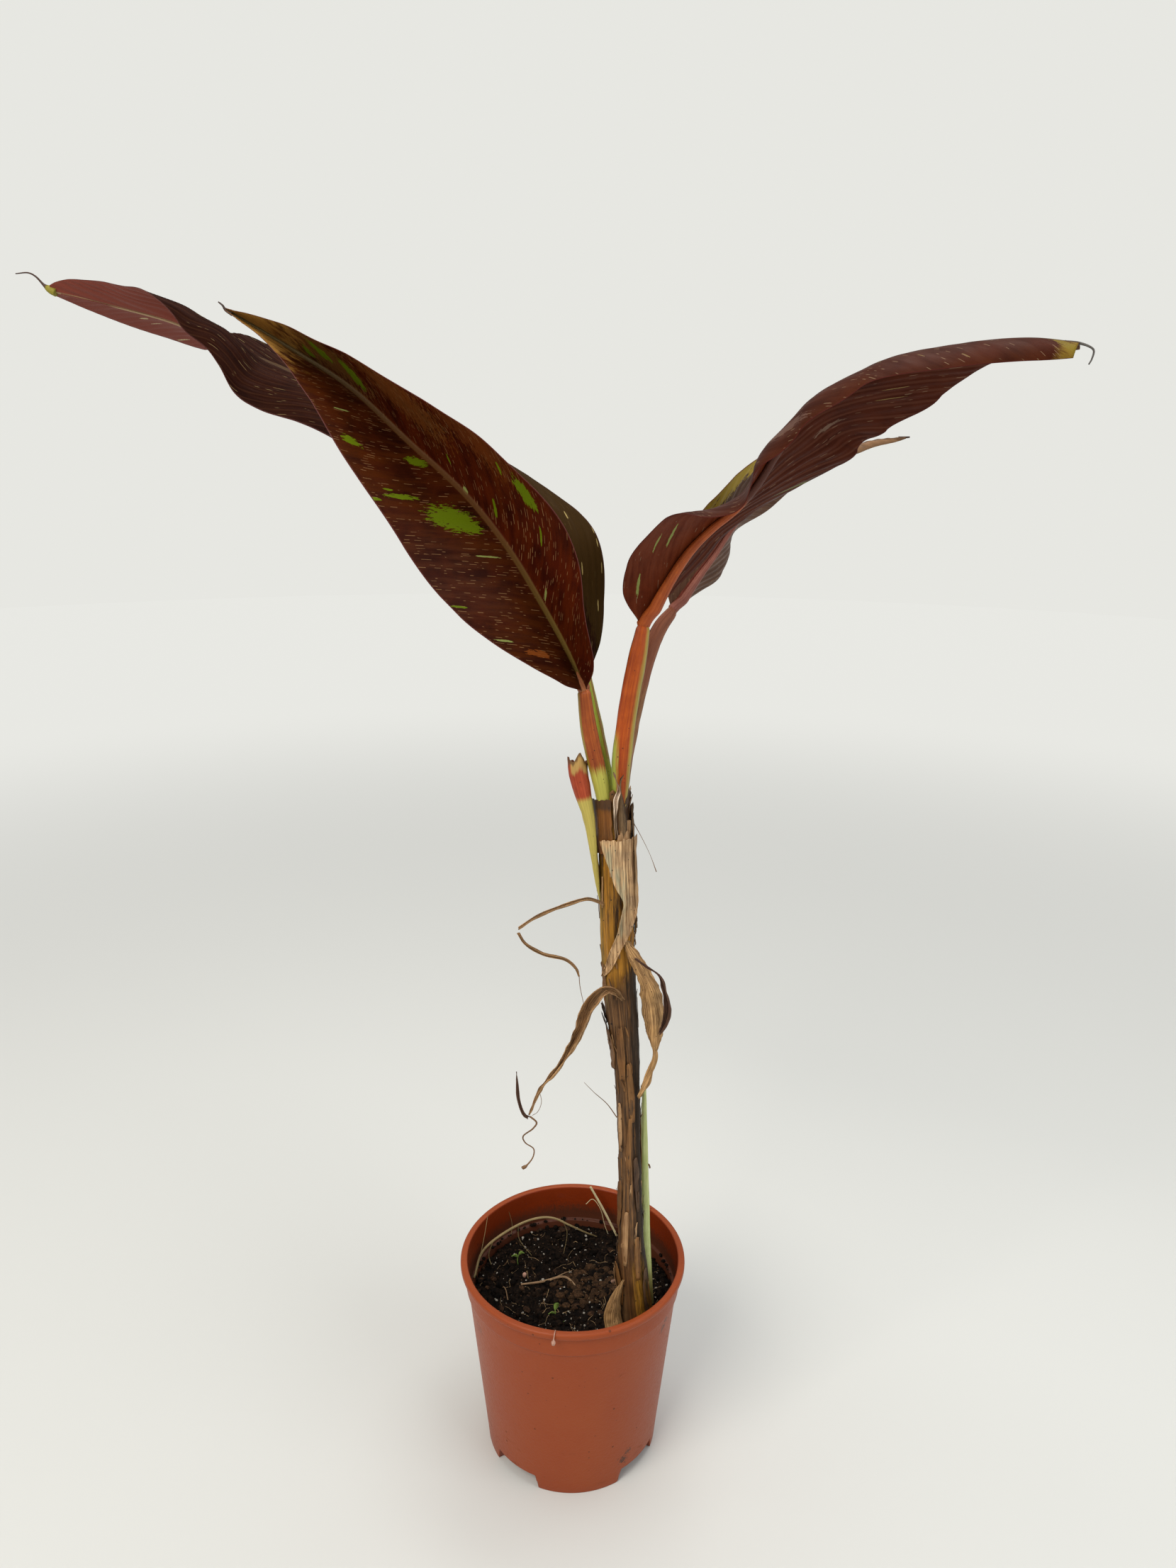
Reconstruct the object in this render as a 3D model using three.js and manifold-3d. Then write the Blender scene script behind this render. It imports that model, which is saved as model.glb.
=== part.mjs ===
// Red-leaf banana plant in a round nursery pot.
// Millimetres. Origin: middle of the pot's underside on the floor. +X right, +Y back, +Z up.
import * as THREE from "three";
import { mergeVertices } from "three/addons/utils/BufferGeometryUtils.js";
import ManifoldModule from "manifold-3d";

// Pot
const POT_HEIGHT = 182;
const RIM_RADIUS = 96;
const MOUTH_RADIUS = 90;
const LIP_DEPTH = 5.5;
const COLLAR_DEPTH = 25;
const COLLAR_STEP = 1.8;
const BASE_RADIUS = 74.3;
const POT_WALL = 2.2;
const LEDGE_DEPTH = 33;
const FOOT_HEIGHT = 13.5;
const FOOT_RING = 9;
const FOOT_COUNT = 4;
const FOOT_HALF_ANGLE = 28;
const FOOT_TURN = 5.6;
const FOOT_SLANT = 2;
const PAD_RADIUS = 18;
const FLOOR_THICKNESS = 2.5;
const FLOOR_LEVEL = FOOT_HEIGHT + FLOOR_THICKNESS;
const LEDGE_LEVEL = POT_HEIGHT - LEDGE_DEPTH;
const LEDGE_STEP = 2.6;
const EDGE_ROUND = 1.2;
const POT_SIDES = 64;

// Soil
const SOIL_LEVEL = 136;
const HEAP_HEIGHT = 14;
const HEAP_TOP_RADIUS = 26;
const HEAP_SPREAD = 30;
const SOIL_RINGS = 9;
const SOIL_SIDES = 48;

// Clearance between neighbouring pieces
const GAP = 0.3;
const WRAP_GAP = 0.55;

// Trunk of rolled leaf sheaths, leaning to the left as it rises
const TRUNK_FOOT = [54.1, -38, SOIL_LEVEL + HEAP_HEIGHT + GAP];
const TRUNK_LINE = [
  TRUNK_FOOT, [50.3, -38, 190], [47.7, -38, 231.6], [46.3, -38, 272.2],
  [44.2, -37, 324], [42.2, -36, 368], [38.8, -34, 409.1], [34.8, -31, 451.1],
  [31.8, -28, 502.7], [30.1, -24, 546.9], [28.1, -21, 579.5], [26.7, -18, 600.6],
];
const TRUNK_RADIUS = [
  [0, 14.6], [0.05, 13], [0.12, 11.8], [0.25, 9.5], [0.35, 8.8],
  [0.5, 10], [0.62, 12.2], [0.8, 13.2], [1, 11.8],
];

// Leaf stalks: centre line and radius from the trunk's top to the blade
const STALKS = {
  stalk_left_front: {
    line: [[20.6, -25, 601], [15.4, -27, 627.5], [9.4, -27, 656.5], [6.3, -25.1, 679.2]],
    radius: [[0, 5.6], [0.5, 7.2], [1, 5.5]],
    colour: "stalk_red",
  },
  stalk_left_back: {
    line: [[24.6, -9.6, 601], [19.6, -8, 633.1], [13, -3, 661.5], [7.6, 3.6, 685]],
    radius: [[0, 4.8], [0.5, 4.6], [1, 4.2]],
    colour: "stalk_red",
  },
  stalk_right_front: {
    line: [[32.6, -25, 601], [33.3, -25, 635.1], [36.4, -22, 666], [42.4, -18, 701.5], [46.6, -16.2, 724.4]],
    radius: [[0, 5.6], [0.3, 8], [0.7, 8], [1, 6]],
    colour: "stalk_red",
  },
  stalk_right_back: {
    line: [[34.9, -9.4, 601], [37, -6, 630.1], [42.8, -3, 661.8], [52.7, 4, 697.6], [64.6, 14, 723.3],
      [72.6, 19.6, 731.7]],
    radius: [[0, 4.6], [0.3, 6.3], [0.6, 6], [0.8, 5], [1, 3.5]],
    colour: "stalk_brown",
  },
};

// Leaf blades. Each station is [share of the rib's length, value]. The roll turns the blade about its
// rib. Each half has its width, the lift of its root and its curl towards the margin, in degrees.
// A blade folded nearly shut has all of its thickness below its upper face.
const LEAVES = {
  leaf_left_lower: {
    rib: [[5.7, -25, 680.9], [-5.6, -26, 706.5], [-22.6, -25, 737.7], [-47.1, -23, 777.8], [-75.2, -19, 812.5],
      [-116.8, -12, 849.8], [-155.4, -4, 883.7], [-196.3, 4, 908.8], [-240.6, 10, 933.7]],
    roll: [[0, -60], [0.3, -56], [0.6, -52], [1, -45]],
    left: {
      width: [[0, 4], [0.04, 26], [0.12, 46], [0.25, 62], [0.4, 69], [0.55, 65], [0.7, 52], [0.85, 31],
        [0.95, 12], [1, 1.5]],
      lift: [[0, 40], [0.1, 32], [0.25, 14], [0.4, 20], [0.55, 31], [0.75, 42], [0.88, 50], [1, 48]],
      curl: [[0, -8], [1, -8]],
    },
    right: {
      width: [[0, 4], [0.04, 24], [0.12, 44], [0.25, 60], [0.4, 66], [0.55, 62], [0.7, 50], [0.85, 30],
        [0.95, 12], [1, 1.5]],
      lift: [[0, 98], [0.1, 84], [0.28, 72], [0.4, 78], [0.6, 88], [0.8, 98], [1, 98]],
      curl: [[0, 10], [1, 10]],
    },
    thickness: 3.8,
    allBelow: true,
    filament: { line: [[-236, 9.4, 931], [-240.6, 10, 933.7], [-242.4, 10.5, 936.4], [-245.3, 11, 938.7]],
      radius: [[0, 1.5], [1, 0.9]] },
  },
  leaf_left_upper: {
    rib: [[7, 4, 686.5], [-9.7, 18, 728.8], [-39.9, 40, 780.7], [-95, 72, 833], [-162.5, 98, 873.9],
      [-231.2, 118, 902.8], [-276.5, 126, 920], [-317.4, 132, 936.7], [-367.4, 137, 949.2],
      [-415.3, 140, 959.4]],
    roll: [[0, -45], [0.3, -38], [0.5, -30], [0.62, -22], [0.74, 0], [0.86, 22], [1, 34]],
    left: {
      width: [[0, 4], [0.04, 26], [0.12, 46], [0.25, 58], [0.45, 64], [0.6, 60], [0.75, 48], [0.88, 28],
        [0.96, 12], [1, 2]],
      lift: [[0, 10], [0.1, 42], [0.25, 61], [0.4, 50], [0.55, 36], [0.66, 8], [0.75, 4], [0.9, 10], [1, 24]],
      curl: [[0, -30], [0.25, -60], [0.55, -60], [0.72, -10], [1, 0]],
    },
    right: {
      width: [[0, 4], [0.04, 24], [0.12, 46], [0.2, 56], [0.32, 62], [0.45, 64], [0.6, 60], [0.75, 48],
        [0.88, 28], [0.96, 12], [1, 2]],
      lift: [[0, -34], [0.1, -14], [0.17, 0], [0.25, -12], [0.35, -18], [0.5, -11], [0.62, -1], [0.75, 18],
        [0.85, 9], [1, 8]],
      curl: [[0, -20], [0.6, -30], [1, -10]],
    },
    thickness: 5.6,
    filament: { line: [[-408, 139.5, 957.8], [-415.2, 140, 960.4], [-420.2, 141, 963.5], [-427, 142, 970.3],
      [-432.7, 143, 972.9], [-443.2, 144, 972.4]], radius: [[0, 2.4], [0.4, 1.5], [1, 0.8]] },
  },
  leaf_right_front: {
    rib: [[47.5, -16, 726.6], [63.3, -22, 759.8], [76.7, -30, 781.5], [90.3, -38, 796.8], [104.4, -47, 809.5],
      [116.3, -57, 824.9], [126.6, -67, 843.7], [135.6, -77, 859.5], [146.7, -86, 873.6], [158.9, -95, 883.2],
      [178.4, -107, 892.7], [194.7, -119, 899.1], [212.8, -131, 902.9], [232.2, -143, 905.5],
      [251.4, -155, 905.8], [271.7, -166, 902.9]],
    roll: [[0, -25], [0.15, -20], [0.3, -10], [0.45, -28], [0.7, -28], [1, -28]],
    left: {
      width: [[0, 4], [0.05, 22], [0.15, 44], [0.3, 58], [0.5, 62], [0.7, 52], [0.85, 34], [0.95, 20], [1, 8]],
      lift: [[0, 24], [0.15, 26], [0.28, 19], [0.4, 25], [0.5, 17], [0.62, 6], [0.75, 12], [0.87, 24], [1, 19]],
      curl: [[0, -10], [1, -20]],
    },
    right: {
      width: [[0, 4], [0.05, 28], [0.15, 46], [0.3, 56], [0.5, 54], [0.7, 44], [0.85, 32], [0.95, 22], [1, 14]],
      lift: [[0, 30], [0.15, 4], [0.28, 2], [0.4, -40], [0.5, -33], [0.7, -19], [0.85, -27], [1, -38]],
      curl: [[0, -10], [0.35, -20], [0.5, -50], [1, -60]],
    },
    thickness: 3.7,
    filament: { line: [[265, -162, 903.6], [271.4, -165, 903], [276.5, -168, 901], [278.2, -170, 899],
      [276.9, -172, 894.3], [275.3, -173, 891.7]], radius: [[0, 1.6], [0.6, 1.3], [1, 0.8]] },
  },
  leaf_right_back: {
    rib: [[73.6, 20, 733], [88.9, 25, 756.4], [99, 28, 771.2], [109.7, 32, 787.3], [122.3, 38, 802.8],
      [140.8, 46, 818.9], [165.3, 56, 833.1], [192.9, 66, 844.5], [221.2, 76, 852.9], [248.3, 84, 855.8]],
    roll: [[0, -60], [0.5, -45], [1, -20]],
    left: {
      width: [[0, 3], [0.06, 20], [0.2, 35], [0.35, 34], [0.5, 20], [0.7, 10], [0.85, 8], [0.95, 6], [1, 1.5]],
      lift: [[0, 26], [0.15, 13], [0.25, 10], [0.35, 15], [0.5, -14], [0.7, -24], [0.85, -30], [1, 0]],
      curl: [[0, 0], [1, 0]],
    },
    right: {
      width: [[0, 3], [0.06, 20], [0.2, 36], [0.4, 44], [0.6, 40], [0.8, 24], [0.95, 8], [1, 1.5]],
      lift: [[0, 34], [0.12, 20], [0.28, 8], [0.5, 4], [0.7, 6], [1, -6]],
      curl: [[0, 0], [1, 0]],
    },
    thickness: 2.6,
    filament: { line: [[243, 82.4, 855.3], [249.6, 85, 855.8], [252, 85.6, 856]],
      radius: [[0, 1.3], [1, 0.8]] },
  },
};
const BLADE_STEPS = 28;
const BLADE_SHARES = [0, 0.05, 0.13, 0.27, 0.42, 0.57, 0.72, 0.87, 1];
const CURL_STEPS = 14;
const RIB_DEPTH = [[0, 4.5], [0.3, 3], [0.7, 1.2], [1, 0.2]];

// Old sheath left from a fallen leaf, standing up the right side of the trunk's foot
const OLD_SHEATH = {
  line: [[65.7, -24, 150.4], [62.2, -24, 190], [60.2, -24, 220.7], [58.7, -24, 262.7], [57, -24, 316.8],
    [56.2, -25, 362.6]],
  radius: [[0, 3.4], [0.25, 4.2], [0.6, 3.6], [1, 1.6]],
};

// Cut leaf stub on the left of the trunk's top
const CUT_STUB = {
  line: [[14.6, -33.5, 532.9], [12.6, -33.5, 558.2], [9.2, -31, 585.1], [4.4, -28, 605.9], [1.4, -26, 621.4],
    [1.2, -24, 629.2]],
  radius: [[0, 1.2], [0.3, 2], [0.55, 3.4], [0.8, 5.4], [1, 6.8]],
};

// Dried leaves hanging from the trunk: centre line, half width and depth share
const DRIED = {
  dried_leaf_left: {
    line: [[27.7, -45.1, 455.6], [16.3, -50, 442.8], [6.9, -54, 421.1], [-8.9, -58, 394.3], [-24, -60, 375.8],
      [-32.6, -62, 357.3]],
    radius: [[0, 5], [0.3, 6], [0.6, 4.5], [0.85, 3], [1, 1.6]],
    depth: 0.6,
  },
  dried_leaf_left_tip: {
    line: [[-33.9, -62.3, 355.3], [-37, -64, 358.5], [-41.5, -65, 372], [-42.8, -66, 396.3]],
    radius: [[0, 1.4], [0.4, 1.8], [1, 0.7]],
    depth: 0.7,
  },
  dried_leaf_right: {
    line: [[40.1, -41.3, 492], [51.5, -49, 477.5], [61, -48, 458.9], [64.4, -44, 436.1], [61.4, -44, 401.6],
      [55.4, -45, 378], [50.2, -47, 364.8]],
    radius: [[0, 2.5], [0.2, 6], [0.45, 11], [0.65, 9], [0.85, 4.5], [1, 2]],
    depth: 0.55,
  },
  dried_strip_upper: {
    line: [[21.3, -36.9, 520.8], [9.7, -46, 527.8], [-3.2, -56, 527.9], [-26, -64, 521.1], [-39.8, -66, 512.4]],
    radius: [[0, 1.6], [0.5, 2.2], [1, 1.8]],
    depth: 0.6,
  },
  dried_strip_lower: {
    line: [[-39.7, -66, 509.9], [-34.7, -66, 501.9], [-22.6, -62, 492.3], [-5.5, -58, 485.5], [1.8, -56, 477.1],
      [3.9, -55, 470.3]],
    radius: [[0, 1.8], [0.5, 2.2], [1, 1.2]],
    depth: 0.6,
  },
};

// Dry sheaths wrapped round the trunk. Each edge is [share of the trunk's length, left edge, right edge],
// with the edges as angles from the front, in degrees, positive to the right.
const WRAPS = {
  sheath_brown: { edges: [[0.93, -96, -8], [0.955, -100, -4], [0.982, -98, -6]], thickness: 1.6 },
  sheath_beige: { edges: [[0.735, -38, -14], [0.79, 2, 40], [0.85, 12, 50], [0.905, -26, 58]], thickness: 1.5 },
  sheath_dark: { edges: [[0.77, 66, 112], [0.84, 62, 132], [0.92, 64, 138], [0.97, 60, 110]], thickness: 2 },
};

const FINISH = {
  pot: { color: 0xb9603c, roughness: 0.5, metalness: 0 },
  soil: { color: 0x2b211b, roughness: 0.95, metalness: 0 },
  trunk: { color: 0x8f7334, roughness: 0.6, metalness: 0 },
  stalk_red: { color: 0xc0561f, roughness: 0.45, metalness: 0 },
  stalk_brown: { color: 0x6b3d2a, roughness: 0.5, metalness: 0 },
  leaf: { color: 0x4a2328, roughness: 0.45, metalness: 0 },
  green: { color: 0x9db56a, roughness: 0.5, metalness: 0 },
  stub: { color: 0xd9694a, roughness: 0.5, metalness: 0 },
  dry: { color: 0x8a6a45, roughness: 0.85, metalness: 0 },
};

const kernel = await ManifoldModule();
kernel.setup();

/** Smooth value at a share of the length, from [share, value] stations. */
function valueAt(stations, share) {
  const last = stations.length - 1;
  const t = Math.min(Math.max(share, stations[0][0]), stations[last][0]);
  let k = 0;
  while (k < last - 1 && t >= stations[k + 1][0]) k += 1;
  const slope = (i) => {
    if (i === 0) return (stations[1][1] - stations[0][1]) / (stations[1][0] - stations[0][0]);
    if (i === last) return (stations[i][1] - stations[i - 1][1]) / (stations[i][0] - stations[i - 1][0]);
    const before = stations[i][1] - stations[i - 1][1];
    const after = stations[i + 1][1] - stations[i][1];
    return before * after <= 0 ? 0 : (before + after) / (stations[i + 1][0] - stations[i - 1][0]);
  };
  const span = stations[k + 1][0] - stations[k][0];
  const u = (t - stations[k][0]) / span;
  const v = 1 - u;
  return (1 + 2 * u) * v * v * stations[k][1] + u * v * v * span * slope(k)
    + u * u * (3 - 2 * u) * stations[k + 1][1] - u * u * v * span * slope(k + 1);
}

/** Smooth curve through the points. */
function curveThrough(points) {
  const curve = new THREE.CatmullRomCurve3(points.map((p) => new THREE.Vector3(...p)), false, "centripetal");
  curve.arcLengthDivisions = 800;
  return curve;
}

/** The geometry with positions only, its shared vertices joined. */
function joined(geometry) {
  geometry.deleteAttribute("normal");
  geometry.deleteAttribute("uv");
  const merged = mergeVertices(geometry, 1e-4);
  merged.computeVertexNormals();
  return merged;
}

/** Moves every vertex of the geometry to where place(vertex) puts it. */
function mapped(geometry, place) {
  const position = geometry.attributes.position;
  const vertex = new THREE.Vector3();
  for (let i = 0; i < position.count; i += 1) {
    vertex.fromBufferAttribute(position, i);
    const { x, y, z } = place(vertex.clone());
    position.setXYZ(i, x, y, z);
  }
  return joined(geometry);
}

/** Closed geometry as a solid for joining and cutting. */
function toManifold(geometry) {
  const clean = joined(geometry.clone());
  const mesh = new kernel.Mesh({
    numProp: 3,
    vertProperties: new Float32Array(clean.attributes.position.array),
    triVerts: new Uint32Array(clean.index.array),
  });
  return new kernel.Manifold(mesh);
}

/** Solid as a geometry. */
function toGeometry(solid) {
  const mesh = solid.getMesh();
  const geometry = new THREE.BufferGeometry();
  geometry.setAttribute("position", new THREE.BufferAttribute(new Float32Array(mesh.vertProperties), 3));
  geometry.setIndex(new THREE.BufferAttribute(new Uint32Array(mesh.triVerts), 1));
  geometry.computeVertexNormals();
  return geometry;
}

/** Point and directions of a curve at a share of its length: along it, to its right and to its back. */
function frameAt(curve, share) {
  const centre = curve.getPointAt(share);
  const along = curve.getTangentAt(share);
  const across = new THREE.Vector3(0, 1, 0).cross(along).normalize();
  const toBack = along.clone().cross(across);
  return { centre, across, toBack };
}

/** A tapering limb along a line: elliptical, its depth a share of its width, its ends level where cut. */
function limb({ line, radius, depth = 1, cutFoot = false, cutTop = false }, sides = 12, steps = 14) {
  const curve = curveThrough(line);
  return mapped(new THREE.CylinderGeometry(1, 1, 1, sides, steps), (v) => {
    const share = v.y + 0.5;
    const { centre, across, toBack } = frameAt(curve, share);
    const size = valueAt(radius, share);
    const point = centre.clone()
      .addScaledVector(across, v.x * size)
      .addScaledVector(toBack, -v.z * size * depth);
    if ((cutFoot && share < 0.001) || (cutTop && share > 0.999)) point.z = centre.z;
    return point;
  });
}

/** Middle surface of a leaf: point(share along the rib, signed share across). */
function bladeSurface({ rib, roll, left, right }) {
  const curve = curveThrough(rib);
  const up = new THREE.Vector3(0, 0, 1);
  return (share, side) => {
    const along = curve.getTangentAt(share);
    const normal = up.clone().addScaledVector(along, -up.dot(along)).normalize();
    normal.applyAxisAngle(along, THREE.MathUtils.degToRad(valueAt(roll, share)));
    const across = along.clone().cross(normal);
    const half = side < 0 ? left : right;
    const width = valueAt(half.width, share);
    const lift = valueAt(half.lift, share);
    const curl = valueAt(half.curl, share);
    const point = curve.getPointAt(share);
    const span = Math.abs(side) / CURL_STEPS;
    for (let i = 0; i < CURL_STEPS; i += 1) {
      const angle = THREE.MathUtils.degToRad(lift + curl * (i + 0.5) * span);
      point.addScaledVector(across, Math.sign(side) * Math.cos(angle) * width * span);
      point.addScaledVector(normal, Math.sin(angle) * width * span);
    }
    return point;
  };
}

/** Solid leaf blade about its middle surface, with a raised midrib below and its dry tip. */
function blade(leaf) {
  const surface = bladeSurface(leaf);
  const halves = BLADE_SHARES.length - 1;
  const shares = [...BLADE_SHARES.slice(1).reverse().map((s) => -s), ...BLADE_SHARES];
  const grid = [];
  for (let i = 0; i <= BLADE_STEPS; i += 1) {
    grid.push(shares.map((side) => surface(i / BLADE_STEPS, side)));
  }
  const normalAt = (i, j) => {
    const a = grid[Math.min(i + 1, BLADE_STEPS)][j].clone().sub(grid[Math.max(i - 1, 0)][j]);
    const b = grid[i][Math.min(j + 1, 2 * halves)].clone().sub(grid[i][Math.max(j - 1, 0)]);
    return b.cross(a).normalize();
  };
  const box = new THREE.BoxGeometry(1, 1, 1, 2 * halves, BLADE_STEPS, 1);
  const solid = mapped(box, (v) => {
    const i = Math.round((v.y + 0.5) * BLADE_STEPS);
    const j = Math.round((v.x + 0.5) * 2 * halves);
    const rib = j === halves ? valueAt(RIB_DEPTH, i / BLADE_STEPS) : 0;
    const above = leaf.allBelow ? 0 : leaf.thickness / 2;
    const below = leaf.thickness - above + rib;
    return grid[i][j].clone().addScaledVector(normalAt(i, j), v.z > 0 ? above : -below);
  });
  return toGeometry(toManifold(solid).add(toManifold(limb(leaf.filament, 8, 10))));
}

/** Band wrapped round part of the trunk, clear of it by the gap. */
function wrap({ edges, thickness }) {
  const curve = curveThrough(TRUNK_LINE);
  const lefts = edges.map(([share, left]) => [share, left]);
  const rights = edges.map(([share, , right]) => [share, right]);
  const from = edges[0][0];
  const to = edges[edges.length - 1][0];
  return mapped(new THREE.BoxGeometry(1, 1, 1, 8, 8, 1), (v) => {
    const share = from + (v.y + 0.5) * (to - from);
    const turn = THREE.MathUtils.lerp(valueAt(lefts, share), valueAt(rights, share), v.x + 0.5);
    const angle = THREE.MathUtils.degToRad(turn);
    const { centre, across, toBack } = frameAt(curve, share);
    const size = valueAt(TRUNK_RADIUS, share) + WRAP_GAP + (v.z + 0.5) * thickness;
    return centre
      .addScaledVector(across, Math.sin(angle) * size)
      .addScaledVector(toBack, -Math.cos(angle) * size);
  });
}

/** Radius of the pot's inner wall at a height up to its ledge. */
function innerRadius(height) {
  const share = (height - FLOOR_LEVEL) / (LEDGE_LEVEL - FLOOR_LEVEL);
  return THREE.MathUtils.lerp(BASE_RADIUS - POT_WALL, MOUTH_RADIUS - 1 - LEDGE_STEP, share);
}

/** Tool that cuts the space between two feet out of the foot ring. */
function footGap(turn) {
  const halfAngle = THREE.MathUtils.degToRad(180 / FOOT_COUNT - FOOT_HALF_ANGLE);
  const halfWidth = Math.sin(halfAngle) * BASE_RADIUS;
  const top = FOOT_HEIGHT - 0.02;
  const outline = new THREE.Shape([
    new THREE.Vector2(-halfWidth - FOOT_SLANT, -1), new THREE.Vector2(halfWidth + FOOT_SLANT, -1),
    new THREE.Vector2(halfWidth - FOOT_SLANT, top), new THREE.Vector2(-halfWidth + FOOT_SLANT, top),
  ]);
  const depth = 4 * FOOT_RING;
  const tool = new THREE.ExtrudeGeometry(outline, { depth, bevelEnabled: false });
  tool.translate(0, 0, BASE_RADIUS - depth + 4).rotateX(Math.PI / 2);
  tool.rotateZ(THREE.MathUtils.degToRad(turn));
  return toManifold(tool);
}

/** Pot turned about its axis, its foot ring cut into four feet. */
function pot() {
  const collarFoot = POT_HEIGHT - COLLAR_DEPTH;
  const lipFoot = POT_HEIGHT - LIP_DEPTH;
  const collarRadius = MOUTH_RADIUS + POT_WALL - 0.6;
  const ringRadius = BASE_RADIUS - FOOT_RING;
  const profile = [
    [0, 0], [PAD_RADIUS, 0], [PAD_RADIUS + EDGE_ROUND, FOOT_HEIGHT], [ringRadius, FOOT_HEIGHT],
    [ringRadius, 0], [BASE_RADIUS, 0], [BASE_RADIUS + EDGE_ROUND, FOOT_HEIGHT],
    [collarRadius - COLLAR_STEP, collarFoot], [collarRadius, collarFoot + EDGE_ROUND], [collarRadius, lipFoot],
    [RIM_RADIUS - EDGE_ROUND / 2, lipFoot], [RIM_RADIUS, lipFoot + EDGE_ROUND],
    [RIM_RADIUS, POT_HEIGHT - EDGE_ROUND], [RIM_RADIUS - EDGE_ROUND, POT_HEIGHT],
    [MOUTH_RADIUS + 1, POT_HEIGHT], [MOUTH_RADIUS, POT_HEIGHT - 1], [MOUTH_RADIUS - 1, LEDGE_LEVEL],
    [innerRadius(LEDGE_LEVEL), LEDGE_LEVEL - 1], [innerRadius(FLOOR_LEVEL), FLOOR_LEVEL], [0, FLOOR_LEVEL],
  ].map(([r, z]) => new THREE.Vector2(r, z));
  let solid = toManifold(new THREE.LatheGeometry(profile, POT_SIDES).rotateX(Math.PI / 2));
  for (let k = 0; k < FOOT_COUNT; k += 1) {
    solid = solid.subtract(footGap(FOOT_TURN + (360 / FOOT_COUNT) * (k + 0.5)));
  }
  return toGeometry(solid);
}

/** Height of the soil at a place: level, heaped up flat-topped under the trunk. */
function soilHeight(x, y) {
  const away = Math.max(0, Math.hypot(x - TRUNK_FOOT[0], y - TRUNK_FOOT[1]) - HEAP_TOP_RADIUS);
  return SOIL_LEVEL + HEAP_HEIGHT * Math.exp(-((away / HEAP_SPREAD) ** 2));
}

/** Soil that fills the pot up to its heaped surface. */
function soil() {
  const wallGap = GAP + 0.2;
  const floor = FLOOR_LEVEL + GAP;
  const edge = innerRadius(SOIL_LEVEL) - wallGap;
  const profile = [new THREE.Vector2(0, floor), new THREE.Vector2(innerRadius(floor) - wallGap, floor)];
  for (let i = SOIL_RINGS; i >= 0; i -= 1) {
    profile.push(new THREE.Vector2((edge * i) / SOIL_RINGS, SOIL_LEVEL));
  }
  return mapped(new THREE.LatheGeometry(profile, SOIL_SIDES).rotateX(Math.PI / 2), (v) => {
    if (v.z > SOIL_LEVEL - 1) v.z = soilHeight(v.x, v.y);
    return v;
  });
}

const plant = new THREE.Group();
plant.name = "potted_banana_plant";

/** Adds one named piece to the plant. */
function add(name, geometry, finish) {
  const mesh = new THREE.Mesh(geometry, new THREE.MeshStandardMaterial(FINISH[finish]));
  mesh.name = name;
  plant.add(mesh);
}

add("pot", pot(), "pot");
add("soil", soil(), "soil");
add("trunk", limb({ line: TRUNK_LINE, radius: TRUNK_RADIUS, cutFoot: true, cutTop: true }, 18, 34), "trunk");
for (const [name, stalk] of Object.entries(STALKS)) {
  add(name, limb({ ...stalk, cutFoot: true }), stalk.colour);
}
for (const [name, leaf] of Object.entries(LEAVES)) add(name, blade(leaf), "leaf");
add("old_sheath_green", limb({ ...OLD_SHEATH, cutFoot: true }, 8, 14), "green");
add("cut_stub", limb(CUT_STUB, 12, 12), "stub");
for (const [name, leaf] of Object.entries(DRIED)) add(name, limb(leaf, 8, 14), "dry");
for (const [name, sheath] of Object.entries(WRAPS)) add(name, wrap(sheath), "dry");

export default plant;
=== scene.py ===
"""Looks of the potted red-leaf banana plant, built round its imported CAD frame.

The tables are in millimetres in the row frame and repeat the CAD source: the origin is the middle of
the pot's underside on the floor, +X is right in the photograph, +Y away from the camera and +Z up.
Meshes are made in metres.
"""

import functools
import logging
import math
from dataclasses import dataclass, field
from enum import Enum

import bmesh
import bpy
import numpy as np
from mathutils import Matrix, Vector


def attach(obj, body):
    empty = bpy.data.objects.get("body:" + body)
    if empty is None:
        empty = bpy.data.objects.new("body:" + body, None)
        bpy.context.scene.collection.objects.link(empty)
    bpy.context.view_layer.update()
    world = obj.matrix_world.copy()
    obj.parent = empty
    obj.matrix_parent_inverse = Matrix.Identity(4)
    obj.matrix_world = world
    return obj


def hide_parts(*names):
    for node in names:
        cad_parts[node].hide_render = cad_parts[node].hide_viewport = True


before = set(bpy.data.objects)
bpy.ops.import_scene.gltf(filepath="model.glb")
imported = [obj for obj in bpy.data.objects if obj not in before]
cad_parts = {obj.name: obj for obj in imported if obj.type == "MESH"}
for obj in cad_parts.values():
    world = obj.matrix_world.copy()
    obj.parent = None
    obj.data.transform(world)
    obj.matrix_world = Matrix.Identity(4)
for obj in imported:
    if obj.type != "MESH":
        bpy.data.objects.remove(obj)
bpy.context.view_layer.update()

LOG = logging.getLogger("potted_plant")
Array = np.ndarray
Stations = tuple[tuple[float, float], ...]
Place = tuple[float, float, float]
Points = tuple[Place, ...]
Colour = tuple[float, float, float]
Socket = bpy.types.NodeSocket
Sockets = bpy.types.bpy_prop_collection
Feed = Socket | float | tuple | None
Values = dict[str | int, Feed]
Pieces = list[bpy.types.Object]

MM = 0.001
BODY = "root"
HASH_PRIMES = (374761393, 668265263, 1440670441)
HASH_MIX = 1274126177
LOW_BITS = 0xFFFFFFFF
ORIGIN = (0, 0, 0)
WHITE = (1.0, 1.0, 1.0)
BLACK = (0.0, 0.0, 0.0)
# A zone with a half turn of HALF_TURN degrees or more lies all round its limb: it reaches down to a cosine
# below any that exists, ALL_ROUND.
HALF_TURN = 179
ALL_ROUND = -3.0


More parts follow.
